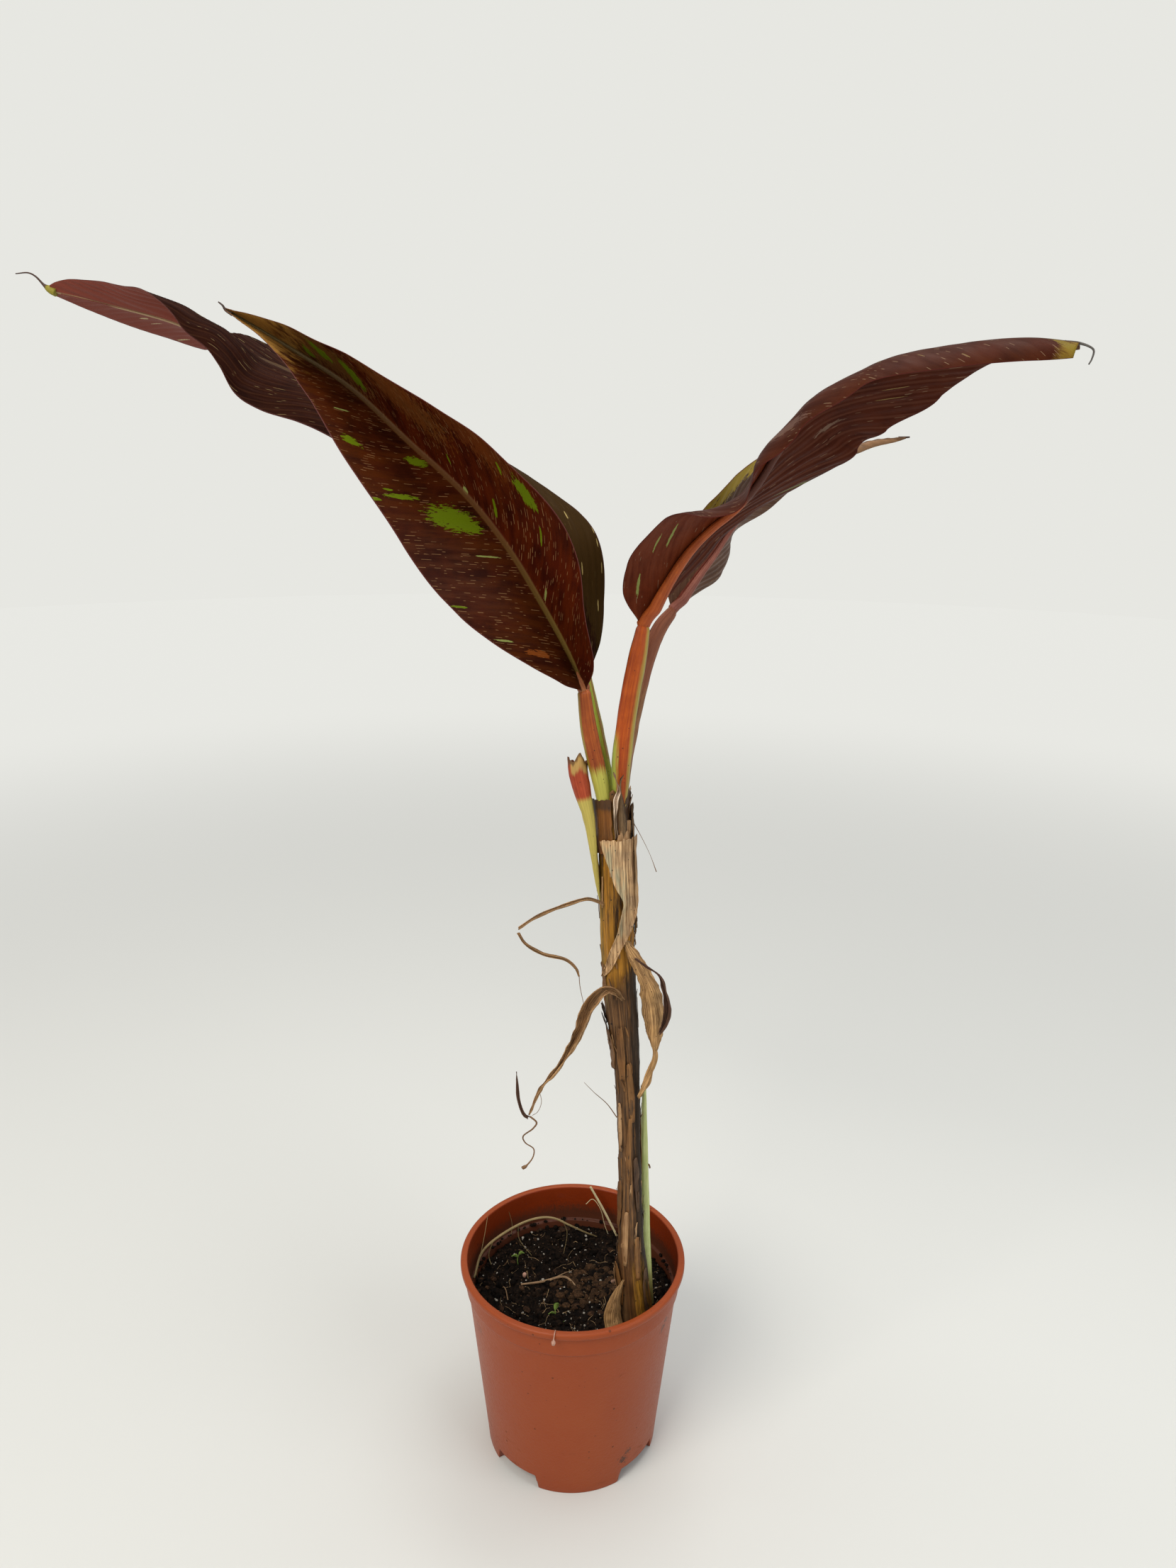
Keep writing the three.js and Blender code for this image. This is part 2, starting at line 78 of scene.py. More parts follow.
class Slot(Enum):
    """The record's material slots."""

    POT = "pot_plastic"
    SOIL = "soil"
    TRUNK = "trunk_skin"
    RED_STALK = "stalk_red"
    BROWN_STALK = "stalk_brown"
    BLADE = "leaf_blade"
    GREEN_SHEATH = "sheath_green"
    STUB = "stub_flesh"
    DRY_LEAF = "dry_leaf"
    DRY_SHEATH = "dry_sheath"


class Tone(Enum):
    """Tones of the torn flakes on the trunk."""

    DARK = "dark"
    BROWN = "brown"
    PALE = "pale"


# Curves and noise


def value_at(stations: Stations, share: Array | float) -> Array:
    """Smooth value at shares of a length.

    Args:
        stations: Pairs of share and value, in order of share.
        share: Shares to read at.

    Returns:
        The value at each share.
    """
    table = np.asarray(stations, float)
    x, y = table[:, 0], table[:, 1]
    slope = np.empty(len(x))
    slope[0] = (y[1] - y[0]) / (x[1] - x[0])
    slope[-1] = (y[-1] - y[-2]) / (x[-1] - x[-2])
    for i in range(1, len(x) - 1):
        before, after = y[i] - y[i - 1], y[i + 1] - y[i]
        slope[i] = 0 if before * after <= 0 else (before + after) / (x[i + 1] - x[i - 1])
    t = np.clip(np.atleast_1d(np.asarray(share, float)), x[0], x[-1])
    k = np.clip(np.searchsorted(x, t, side="right") - 1, 0, len(x) - 2)
    span = x[k + 1] - x[k]
    u = (t - x[k]) / span
    v = 1 - u
    return (
        (1 + 2 * u) * v * v * y[k]
        + u * v * v * span * slope[k]
        + u * u * (3 - 2 * u) * y[k + 1]
        - u * u * v * span * slope[k + 1]
    )


def smooth(value: Array | float, low: float, high: float) -> Array:
    """Smooth step of a value: 0 before low, 1 after high, and a smooth rise between."""
    t = np.clip((np.asarray(value, float) - low) / (high - low), 0, 1)
    return t * t * (3 - 2 * t)


def unit(vectors: Array) -> Array:
    """Vectors in the last axis, scaled to a length of one."""
    return vectors / np.maximum(np.linalg.norm(vectors, axis=-1, keepdims=True), 1e-9)


def ripple(points: Array, size: float, seed: int = 0, octaves: int = 1) -> Array:
    """Smooth noise in space.

    Args:
        points: Points in the last axis.
        size: Size of a ripple, in the points' own unit.
        seed: Which noise to read.
        octaves: How many layers, each half as large and half as strong as the one before.

    Returns:
        A value from about -1 to 1 for each point.
    """
    total = np.zeros(points.shape[:-1])
    strength, reach = 1.0, 0.0
    for octave in range(octaves):
        p = points / size * 2**octave + 31.7 * seed + 7.3 * octave
        low = np.floor(p).astype(np.int64)
        f = p - low
        u = f * f * f * (f * (f * 6 - 15) + 10)
        layer = np.zeros(points.shape[:-1])
        for corner in np.ndindex(2, 2, 2):
            key = sum((low[..., i] + corner[i]) * HASH_PRIMES[i] for i in range(3)) & LOW_BITS
            key = ((key ^ (key >> 13)) * HASH_MIX) & LOW_BITS
            value = ((key ^ (key >> 16)) & 0xFFFFFF) / 0x7FFFFF - 1
            across, back, up = (u[..., i] if corner[i] else 1 - u[..., i] for i in range(3))
            layer = layer + value * (across * back * up)
        total = total + strength * layer
        reach += strength
        strength *= 0.5
    return total / reach


def places(x: Array | float, y: Array | float, z: Array | float) -> Array:
    """Points whose coordinates are three arrays that fit each other's shapes."""
    return np.stack(np.broadcast_arrays(x, y, z), -1)


class Line:
    """A smooth centripetal line through points, read at shares of its length."""

    def __init__(self, points: Points) -> None:
        """Samples the line finely.

        Args:
            points: The points that it passes through.
        """
        samples = 60
        p = np.asarray(points, float)
        p = np.vstack([2 * p[0] - p[1], p, 2 * p[-1] - p[-2]])
        runs = []
        for a, b, c, d in zip(p, p[1:], p[2:], p[3:]):
            t0, t1, t2 = (max(float(np.linalg.norm(w)), 1e-6) ** 0.5 for w in (b - a, c - b, d - c))
            start = ((b - a) / t0 - (c - a) / (t0 + t1) + (c - b) / t1) * t1
            end = ((c - b) / t1 - (d - b) / (t1 + t2) + (d - c) / t2) * t1
            u = np.linspace(0, 1, samples, endpoint=False)[:, None]
            runs.append(
                b + start * u + (3 * (c - b) - 2 * start - end) * u**2 + (2 * (b - c) + start + end) * u**3
            )
        runs.append(p[-2:-1])
        self.fine = np.vstack(runs)
        steps = np.linalg.norm(np.diff(self.fine, axis=0), axis=1)
        self.reach = np.concatenate([[0.0], np.cumsum(steps)])
        self.length = float(self.reach[-1])

    def read(self, distances: Array) -> Array:
        """Points at distances along the line, from its start to its end."""
        return np.stack([np.interp(distances, self.reach, self.fine[:, i]) for i in range(3)], -1)

    def at(self, shares: Array) -> Array:
        """Points of the line, and of straight runs past its ends.

        Args:
            shares: Shares of the line's length.

        Returns:
            One point for each share.
        """
        inside = self.read(np.clip(shares, 0, 1) * self.length)
        past = np.where(shares > 1, (shares - 1) * self.length, np.minimum(shares, 0) * self.length)
        return inside + past[:, None] * self.along(shares)

    def along(self, shares: Array) -> Array:
        """Directions of the line.

        Args:
            shares: Shares of the line's length.

        Returns:
            One unit vector for each share.
        """
        near = 0.0004
        distance, step = np.clip(shares, near, 1 - near) * self.length, near * self.length
        return unit(self.read(distance + step) - self.read(distance - step))


# Meshes


@dataclass
class Shell:
    """A mesh being built: points in millimetres, faces, their material and the points' marks."""

    points: Array
    faces: list[Array]
    finishes: list[Array]
    marks: dict[str, Array] = field(default_factory=dict)


def grid_faces(rows: int, columns: int, ring: bool = False) -> Array:
    """Quads of a grid of points.

    Args:
        rows: Number of rows of points.
        columns: Number of points in a row.
        ring: Whether each row closes on itself.

    Returns:
        Four point numbers for each face.
    """
    i = np.arange(rows - 1)[:, None]
    j = np.arange(columns if ring else columns - 1)[None, :]
    k = (j + 1) % columns
    quads = [i * columns + j, i * columns + k, (i + 1) * columns + k, (i + 1) * columns + j]
    return np.stack(quads, -1).reshape(-1, 4)


def normals_of(grid: Array, ring: bool = False) -> Array:
    """Normals of a grid of points, to the side that its faces look.

    Args:
        grid: Points as rows, columns and coordinates.
        ring: Whether each row closes on itself.

    Returns:
        A unit vector for each point.
    """
    down = np.gradient(grid, axis=0)
    if ring:
        side = np.roll(grid, -1, axis=1) - np.roll(grid, 1, axis=1)
    else:
        side = np.gradient(grid, axis=1)
    return unit(np.cross(side, down))


def thin_sheet(
    grid: Array, above: Array | float, below: Array | float, marks: dict[str, Array],
    finishes: tuple[int, int, int] = (0, 0, 0), facing: Array | None = None,
) -> Shell:
    """A closed thin sheet about a grid of points.

    Args:
        grid: Middle surface as rows, columns and coordinates.
        above: Millimetres from the grid to the upper face.
        below: Millimetres from the grid to the under face.
        marks: Values for each grid point, three to a point.
        finishes: Material numbers of the upper face, the under face and the edge.
        facing: Normals to use in place of the grid's own.

    Returns:
        The closed shell.
    """
    rows, columns = grid.shape[:2]
    normal = normals_of(grid) if facing is None else facing
    up = np.broadcast_to(np.asarray(above, float), (rows, columns))[..., None]
    down = np.broadcast_to(np.asarray(below, float), (rows, columns))[..., None]
    points = np.concatenate([(grid + normal * up).reshape(-1, 3), (grid - normal * down).reshape(-1, 3)])
    count = rows * columns
    upper = grid_faces(rows, columns)
    number = np.arange(count).reshape(rows, columns)
    border = np.concatenate([number[0, :-1], number[:-1, -1], number[-1, :0:-1], number[:0:-1, 0]])
    after = np.roll(border, -1)
    edge = np.stack([after, border, border + count, after + count], -1)
    return Shell(
        points,
        [upper, upper[:, ::-1] + count, edge],
        [np.full(len(upper), finishes[0]), np.full(len(upper), finishes[1]), np.full(len(edge), finishes[2])],
        {name: np.concatenate([value.reshape(-1, 3)] * 2) for name, value in marks.items()},
    )


def closed_tube(grid: Array, marks: dict[str, Array], finish: int = 0) -> Shell:
    """A tube of rings with both ends closed.

    Args:
        grid: Points as rings, points round a ring and coordinates.
        marks: Values for each grid point, three to a point.
        finish: Material number of all its faces.

    Returns:
        The closed shell.
    """
    rows, columns = grid.shape[:2]
    points = np.concatenate([grid.reshape(-1, 3), grid[0].mean(0)[None], grid[-1].mean(0)[None]])
    side = grid_faces(rows, columns, ring=True)
    j = np.arange(columns)
    k = (j + 1) % columns
    last = (rows - 1) * columns
    foot = np.stack([k, j, np.full(columns, rows * columns)], -1)
    top = np.stack([last + j, last + k, np.full(columns, rows * columns + 1)], -1)
    full = {
        name: np.concatenate([v.reshape(-1, 3), v[0].mean(0)[None], v[-1].mean(0)[None]])
        for name, v in marks.items()
    }
    return Shell(points, [side, foot, top], [np.full(len(f), finish) for f in (side, foot, top)], full)


def merged(shells: list[Shell]) -> Shell:
    """Several shells as one.

    Args:
        shells: The shells, each with its own marks.

    Returns:
        One shell, with zeros where a shell lacks a mark.
    """
    names = sorted({name for shell in shells for name in shell.marks})
    faces: list[Array] = []
    finishes: list[Array] = []
    start = 0
    for shell in shells:
        faces += [f + start for f in shell.faces]
        finishes += shell.finishes
        start += len(shell.points)
    marks = {
        name: np.concatenate([s.marks.get(name, np.zeros((len(s.points), 3))) for s in shells])
        for name in names
    }
    return Shell(np.concatenate([s.points for s in shells]), faces, finishes, marks)


def make_piece(
    name: str, shell: Shell, materials: list[bpy.types.Material], replaces: tuple[str, ...] = (),
) -> bpy.types.Object:
    """Turns a shell into a piece of the plant.

    Args:
        name: The piece's name.
        shell: Its mesh.
        materials: Its materials, in the order of the shell's numbers.
        replaces: CAD nodes that it stands for.

    Returns:
        The object, riding on the plant's body.
    """
    mesh = bpy.data.meshes.new(name)
    mesh.vertices.add(len(shell.points))
    mesh.vertices.foreach_set("co", (shell.points * MM).astype(np.float32).ravel())
    sizes = np.concatenate([np.full(len(f), f.shape[1]) for f in shell.faces])
    corners = np.concatenate([f.ravel() for f in shell.faces]).astype(np.int32)
    starts = np.concatenate([[0], np.cumsum(sizes)[:-1]]).astype(np.int32)
    mesh.loops.add(len(corners))
    mesh.loops.foreach_set("vertex_index", corners)
    mesh.polygons.add(len(sizes))
    mesh.polygons.foreach_set("loop_start", starts)
    mesh.polygons.foreach_set("material_index", np.concatenate(shell.finishes).astype(np.int32))
    mesh.polygons.foreach_set("use_smooth", np.full(len(sizes), True))
    for mark, values in shell.marks.items():
        attribute = mesh.attributes.new(mark, "FLOAT_VECTOR", "POINT")
        attribute.data.foreach_set("vector", values.astype(np.float32).ravel())
    mesh.update(calc_edges=True)
    mesh.validate()
    for material in materials:
        mesh.materials.append(material)
    obj = bpy.data.objects.new(name, mesh)
    bpy.context.scene.collection.objects.link(obj)
    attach(obj, BODY)
    if replaces:
        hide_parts(*replaces)
    return obj


@dataclass(frozen=True)
class Half:
    """One half of a blade: its width, its root's lift and its curl to the margin, in mm and degrees."""

    width: Stations
    lift: Stations
    curl: Stations = ((0, 0), (1, 0))


@dataclass(frozen=True)
class BladeForm:
    """The middle surface of a leaf or of any other bent strip."""

    rib: Points
    roll: Stations
    left: Half
    right: Half
    facing: Place = (0, 0, 1)
    root: float = 0.06

    def axes(self, shares: Array) -> tuple[Array, Array, Array, Array]:
        """Centre, direction, normal and right side of the rib.

        Args:
            shares: Shares of the rib's length.

        Returns:
            The four arrays, one row for each share.
        """
        line = Line(self.rib)
        centre, along = line.at(shares), line.along(shares)
        up = np.asarray(self.facing, float)
        normal = unit(up - (along @ up)[:, None] * along)
        side = np.cross(along, normal)
        turn = np.radians(value_at(self.roll, shares))[:, None]
        normal = np.cos(turn) * normal + np.sin(turn) * side
        return centre, along, normal, np.cross(along, normal)

    def surface(self, shares: Array, columns: Array) -> tuple[Array, Array]:
        """Points of the surface.

        Args:
            shares: Shares of the rib's length, one for each row.
            columns: Shares of a half's width, from 0 at the rib to 1 at the margin.

        Returns:
            The points as rows, columns and coordinates, and each point's distance across in mm.
        """
        centre, _, normal, side = self.axes(shares)
        middle, step = (columns[1:] + columns[:-1]) / 2, np.diff(columns)
        grids, spans = [], []
        for half, sign in ((self.left, -1.0), (self.right, 1.0)):
            width, lift, curl = (value_at(t, shares)[:, None] for t in (half.width, half.lift, half.curl))
            angle = np.radians(lift * smooth(middle, 0, self.root) + curl * middle)
            zero = np.zeros((len(shares), 1))
            out = np.concatenate([zero, np.cumsum(np.cos(angle) * step, axis=1)], axis=1) * width
            rise = np.concatenate([zero, np.cumsum(np.sin(angle) * step, axis=1)], axis=1) * width
            grids.append(
                centre[:, None] + sign * out[..., None] * side[:, None] + rise[..., None] * normal[:, None]
            )
            spans.append(sign * width * columns)
        grid = np.concatenate([grids[0][:, :0:-1], grids[1]], axis=1)
        return grid, np.concatenate([spans[0][:, :0:-1], spans[1]], axis=1)


@dataclass(frozen=True)
class Limb:
    """A tapering round or flattened stem along a line."""

    line: Points
    radius: Stations
    depth: float = 1.0
    facing: Place = (0, -1, 0)

    def rings(
        self, rows: int, columns: int, start: float = 0.0, end: float = 1.0,
    ) -> tuple[Array, Array, Array]:
        """Rings of the limb.

        Args:
            rows: Number of rings.
            columns: Points round a ring.
            start: Share of the line where the rings start.
            end: Share of the line where they end.

        Returns:
            The points, their outward directions, and marks of sine and cosine of the turn from the
            facing side towards the right, and the distance along in mm.
        """
        line = Line(self.line)
        shares = np.linspace(start, end, rows)
        centre, along = line.at(shares), line.along(shares)
        front = np.asarray(self.facing, float)
        front = unit(front - (along @ front)[:, None] * along)
        turn = np.linspace(0, 2 * np.pi, columns, endpoint=False)
        sine, cosine = np.sin(turn)[None, :, None], np.cos(turn)[None, :, None]
        across = np.cross(front, along) * -1
        outward = across[:, None] * sine + front[:, None] * cosine * self.depth
        size = value_at(self.radius, shares)[:, None, None]
        marks = places(sine[..., 0], cosine[..., 0], (shares * line.length)[:, None])
        return centre[:, None] + outward * size, outward, marks

    def tube(self, rows: int, columns: int, finish: int = 0) -> Shell:
        """The limb as a closed tube of rings, with a material number."""
        grid, _, skin = self.rings(rows, columns)
        return closed_tube(grid, {"skin": skin}, finish)


# Shader nodes


class Graph:
    """A node tree being wired, with short calls for the nodes that the finishes use."""

    def __init__(self, tree: bpy.types.NodeTree) -> None:
        """Keeps the tree."""
        self.tree = tree

    def feed(self, socket: Socket, value: Feed) -> None:
        """Links a socket or sets its value.

        Args:
            socket: The input.
            value: Another socket, a number, a vector or a colour.
        """
        if isinstance(value, bpy.types.NodeSocket):
            self.tree.links.new(value, socket)
        elif isinstance(value, tuple) and socket.type == "RGBA":
            socket.default_value = (*value[:3], 1.0)
        elif value is not None:
            socket.default_value = value

    def put(self, kind: str, values: Values | None = None, **settings: object) -> bpy.types.Node:
        """Adds a node and feeds it.

        Args:
            kind: Blender's name for the kind of node.
            values: What its inputs take, by name or number.
            settings: The node's own settings.

        Returns:
            The node.
        """
        node = self.tree.nodes.new(kind)
        for name, value in settings.items():
            setattr(node, name, value)
        for name, value in (values or {}).items():
            self.feed(node.inputs[name], value)
        return node

    def math(self, operation: str, *numbers: Feed) -> Socket:
        """A number worked out from up to three others by one of Blender's sums."""
        return self.put("ShaderNodeMath", dict(enumerate(numbers)), operation=operation).outputs[0]

    def times(self, first: Feed, second: Feed) -> Socket:
        """Product of two numbers."""
        return self.math("MULTIPLY", first, second)

    def ratio(self, first: Feed, second: Feed) -> Socket:
        """One number divided by another."""
        return self.math("DIVIDE", first, second)

    def plus(self, first: Feed, second: Feed) -> Socket:
        """Sum of two numbers."""
        return self.math("ADD", first, second)

    def minus(self, first: Feed, second: Feed) -> Socket:
        """Difference of two numbers."""
        return self.math("SUBTRACT", first, second)

    def scaled(self, value: Feed, factor: Feed, offset: Feed) -> Socket:
        """A number times a factor, plus an offset."""
        return self.math("MULTIPLY_ADD", value, factor, offset)

    def vector(self, operation: str, *vectors: Feed) -> Socket:
        """A vector or a length worked out from one or two vectors by one of Blender's sums."""
        node = self.put("ShaderNodeVectorMath", dict(enumerate(vectors)), operation=operation)
        return node.outputs["Value" if operation in ("LENGTH", "DOT_PRODUCT", "DISTANCE") else "Vector"]

    def noise(self, place: Feed, scale: Feed, detail: float = 3.0, roughness: float = 0.55,
              distortion: float = 0.0) -> Socket:
        """Smooth noise from 0 to 1, by its scale, its finer layers and their strength, and its warp."""
        values = {"Vector": place, "Scale": scale, "Detail": detail, "Roughness": roughness,
                  "Distortion": distortion}
        return self.put("ShaderNodeTexNoise", values).outputs[0]

    def grain(self, parts: tuple[Socket, ...], scales: tuple[float, ...], detail: float,
              roughness: float = 0.55) -> Socket:
        """Smooth noise at the three numbers of a place, with a scale of its own along each."""
        stretched = [part if scale == 1 else self.times(part, scale) for part, scale in zip(parts, scales)]
        return self.noise(self.joined(*stretched), 1.0, detail, roughness)

    def cells(self, place: Feed, scale: Feed) -> Sockets:
        """Distance, colour and position of cells scattered in space."""
        return self.put("ShaderNodeTexVoronoi", {"Vector": place, "Scale": scale}).outputs

    def step(self, value: Feed, low: Feed, high: Feed, start: Feed = 0.0, end: Feed = 1.0) -> Socket:
        """Smooth step of a value: start below low, end above high, and a smooth run between."""
        values = dict(enumerate((value, low, high, start, end)))
        return self.put("ShaderNodeMapRange", values, interpolation_type="SMOOTHSTEP").outputs[0]

    def mix(self, factor: Feed, first: Feed, second: Feed, mode: str = "MIX") -> Socket:
        """Colour between two colours, by the share of the second and Blender's way of mixing them."""
        values = {0: factor, 6: first, 7: second}
        return self.put("ShaderNodeMix", values, data_type="RGBA", blend_type=mode).outputs[2]

    def mark(self, name: str) -> Socket:
        """The vector that the mesh's points carry under a name."""
        return self.put("ShaderNodeAttribute", attribute_name=name).outputs["Vector"]

    def place(self) -> Socket:
        """The point's place in the row frame, in metres."""
        return self.put("ShaderNodeTexCoord").outputs["Object"]

    def place_mm(self) -> Socket:
        """The point's place in the row frame, in millimetres."""
        return self.vector("MULTIPLY", self.place(), (1 / MM, 1 / MM, 1 / MM))

    def split(self, vector: Feed) -> tuple[Socket, Socket, Socket]:
        """The three numbers of a vector."""
        return tuple(self.put("ShaderNodeSeparateXYZ", {0: vector}).outputs)

    def joined(self, x: Feed, y: Feed, z: Feed) -> Socket:
        """A vector of three numbers."""
        return self.put("ShaderNodeCombineXYZ", {0: x, 1: y, 2: z}).outputs[0]

    def effect(self, group: bpy.types.NodeTree, **values: Feed) -> Sockets:
        """Places a shared effect with its own values and returns what it gives."""
        return self.put("ShaderNodeGroup", values, node_tree=group).outputs

    def bump(self, height: Socket, distance: float) -> Socket:
        """Normal of a surface that is uneven by a height from 0 to 1, to a depth in metres."""
        values = {"Strength": 1.0, "Distance": distance, "Height": height}
        return self.put("ShaderNodeBump", values).outputs[0]


class Surface(Graph):
    """A material being wired, with its surface shader."""

    def __init__(self, name: str) -> None:
        """Starts the material.

        Args:
            name: The material's name.
        """
        self.material = bpy.data.materials.new(name)
        self.material.use_nodes = True
        super().__init__(self.material.node_tree)
        self.tree.nodes.clear()
        self.shader = self.put("ShaderNodeBsdfPrincipled")
        self.put("ShaderNodeOutputMaterial", {"Surface": self.shader.outputs[0]})

    def dressed(self, values: Values) -> bpy.types.Material:
        """Feeds the surface shader's inputs by their names and returns the material."""
        for name, value in values.items():
            self.feed(self.shader.inputs[name], value)
        return self.material


def new_effect(name: str, inputs: Values, outputs: tuple[str, ...]) -> tuple[Graph, Sockets, Sockets]:
    """Starts a shader node group, with numbers and vectors in and numbers out.

    Args:
        name: The group's name.
        inputs: Default value of each input, by name.
        outputs: Names of the outputs.

    Returns:
        The group's graph, what its inputs give and what its outputs take.
    """
    tree = bpy.data.node_groups.new(name, "ShaderNodeTree")
    for label, value in inputs.items():
        kind = "NodeSocketVector" if isinstance(value, tuple) else "NodeSocketFloat"
        tree.interface.new_socket(label, in_out="INPUT", socket_type=kind).default_value = value
    for label in outputs:
        tree.interface.new_socket(label, in_out="OUTPUT", socket_type="NodeSocketFloat")
    graph = Graph(tree)
    return graph, graph.put("NodeGroupInput").outputs, graph.put("NodeGroupOutput").inputs


class Effects:
    """The shared effects, each a shader node group that is built once."""

    @staticmethod
    @functools.cache
    def mottle() -> bpy.types.NodeTree:
        """Uneven tone: soft clouds with finer grain, from 0 to 1.

        Returns:
            The group.
        """
        g, given, made = new_effect("uneven tone", {"Place": ORIGIN, "Size": 10.0}, ("Tone",))
        value = g.noise(given["Place"], g.ratio(1.0, given["Size"]), 4.0, 0.6, 0.3)
        g.feed(made["Tone"], g.step(value, 0.3, 0.7))
        return g.tree

    @staticmethod
    @functools.cache
    def fibres() -> bpy.types.NodeTree:
        """Lengthwise fibres along the third number of the place: tone, and height for a bump.

        Returns:
            The group.
        """
        g, given, made = new_effect(
            "lengthwise fibres", {"Place": ORIGIN, "Width": 1.0, "Length": 40.0}, ("Tone", "Height"))
        x, y, z = g.split(given["Place"])
        fine, long = g.ratio(1.0, given["Width"]), g.ratio(1.0, given["Length"])
        stretched = g.joined(g.times(x, fine), g.times(y, fine), g.times(z, long))
        broad = g.noise(stretched, 0.5, 3.0, 0.6, 0.4)
        narrow = g.noise(stretched, 2.0, 3.0, 0.65, 0.2)
        g.feed(made["Tone"], g.step(g.scaled(narrow, 0.45, g.times(broad, 0.55)), 0.34, 0.66))
        g.feed(made["Height"], g.scaled(narrow, 0.6, g.times(broad, 0.4)))
        return g.tree

    @staticmethod
    @functools.cache
    def flecks() -> bpy.types.NodeTree:
        """Small round specks of mixed size.

        Returns:
            The group.
        """
        g, given, made = new_effect("specks", {"Place": ORIGIN, "Size": 3.0, "Amount": 0.3}, ("Mask",))
        cell = g.cells(given["Place"], g.ratio(1.0, given["Size"]))
        red, green, _ = g.split(cell["Color"])
        there = g.math("LESS_THAN", red, given["Amount"])
        reach = g.scaled(green, 0.2, 0.06)
        g.feed(made["Mask"], g.times(there, g.step(cell["Distance"], reach, g.times(reach, 0.6))))
        return g.tree

    @staticmethod
    @functools.cache
    def veins() -> bpy.types.NodeTree:
        """Side veins of a blade: broad folds, fine lines and uneven streaks along them.

        Returns:
            The group.
        """
        g, given, made = new_effect(
            "side veins", {"Vein": ORIGIN, "Pitch": 5.5}, ("Crest", "Line", "Streak", "Height"))
        vein = g.split(given["Vein"])
        wander = g.scaled(g.grain(vein, (0.05, 0.02, 1), 1.0), 3.0, vein[0])
        turn = g.ratio(wander, given["Pitch"])
        crest = g.scaled(g.math("COSINE", g.times(turn, 2 * math.pi)), 0.5, 0.5)
        fine = g.grain(vein, (1.5, 0.035, 9.0), 2.0, 0.6)
        streak = g.grain(vein, (0.14, 0.02, 5.0), 4.0, 0.62)
        g.feed(made["Crest"], crest)
        g.feed(made["Line"], g.step(crest, 0.86, 1.0))
        g.feed(made["Streak"], g.step(streak, 0.36, 0.66))
        g.feed(made["Height"], g.scaled(fine, 0.7, g.times(crest, 0.3)))
        return g.tree

    @staticmethod
    @functools.cache
    def dashes() -> bpy.types.NodeTree:
        """Thin pale dashes that lie along the side veins.

        Returns:
            The group.
        """
        g, given, made = new_effect(
            "pale dashes", {"Vein": ORIGIN, "Gap": 3.0, "Reach": 12.0, "Amount": 0.35}, ("Mask",))
        q, p, side = g.split(given["Vein"])
        place = g.joined(g.ratio(q, given["Gap"]), g.ratio(p, given["Reach"]), g.times(side, 3.5))
        cell = g.cells(place, 1.0)
        red, green, blue = g.split(cell["Color"])
        away = g.split(g.vector("ABSOLUTE", g.vector("SUBTRACT", place, cell["Position"])))
        narrow = g.step(away[0], 0.05, g.scaled(blue, 0.12, 0.06), 1.0, 0.0)
        short = g.step(away[1], g.times(green, 0.35), g.scaled(green, 0.35, 0.08), 1.0, 0.0)
        there = g.math("LESS_THAN", red, given["Amount"])
        g.feed(made["Mask"], g.times(g.times(narrow, short), there))
        return g.tree

    @staticmethod
    @functools.cache
    def patch() -> bpy.types.NodeTree:
        """One patch on a blade, with edges that follow the side veins.

        Returns:
            The group.
        """
        g, given, made = new_effect(
            "patch on a blade",
            {"Vein": ORIGIN, "Centre": ORIGIN, "Reach": (5, 5, 0.5), "Jag": 0.5},
            ("Mask",))
        away = g.vector("DIVIDE", g.vector("SUBTRACT", given["Vein"], given["Centre"]), given["Reach"])
        rough = g.grain(g.split(given["Vein"]), (0.75, 0.16, 1), 3.0, 0.7)
        ragged = g.scaled(g.minus(rough, 0.5), g.times(given["Jag"], 2.6), g.vector("LENGTH", away))
        g.feed(made["Mask"], g.step(ragged, 1.05, 0.93))
        return g.tree

    @staticmethod
    @functools.cache
    def zone() -> bpy.types.NodeTree:
        """Zone of a limb by turn and distance along, with fibrous edges.

        Returns:
            The group.
        """
        g, given, made = new_effect(
            "zone on a limb",
            {"Skin": ORIGIN, "Facing": (0, 1, 0), "Reach": 0.5, "Start": 0.0, "End": 100.0, "Blur": 12.0,
             "Ragged": 0.35},
            ("Mask",))
        reach, ragged, blur = given["Reach"], given["Ragged"], given["Blur"]
        x, y, z = g.split(given["Skin"])
        toward = g.vector("DOT_PRODUCT", g.joined(x, y, 0.0), given["Facing"])
        rough = g.minus(g.grain((x, y, z), (6.0, 6.0, 0.035), 4.0, 0.65), 0.5)
        shifted = g.scaled(rough, g.times(ragged, 2.0), toward)
        around = g.step(shifted, g.minus(reach, 0.12), g.plus(reach, 0.12))
        height = g.plus(z, g.times(g.times(rough, ragged), g.times(blur, 8.0)))
        begin = g.step(height, g.minus(given["Start"], blur), given["Start"])
        finish = g.step(height, g.plus(given["End"], blur), given["End"])
        g.feed(made["Mask"], g.times(around, g.times(begin, finish)))
        return g.tree


# Finishes


@dataclass(frozen=True)
class VeinPlan:
    """How the side veins leave the rib, for each half: slope to the tip, and its change further out."""

    left: tuple[float, float] = (1.0, 0.1)
    right: tuple[float, float] = (1.0, 0.1)

    def place(self, along: Array | float, across: Array | float) -> tuple[Array, Array, Array]:
        """Place of a point among the veins.

        Args:
            along: Distance along the rib in mm.
            across: Signed distance from it in mm.

        Returns:
            Distance across the veins, distance along them, and the side of the rib.
        """
        away = np.abs(across)
        sweep, bend = (np.where(np.asarray(across) < 0, a, b) for a, b in zip(self.left, self.right))
        reach = np.sqrt(1 + sweep**2)
        return (along - (sweep + bend * away / 100) * away) / reach, away * reach, np.sign(across)


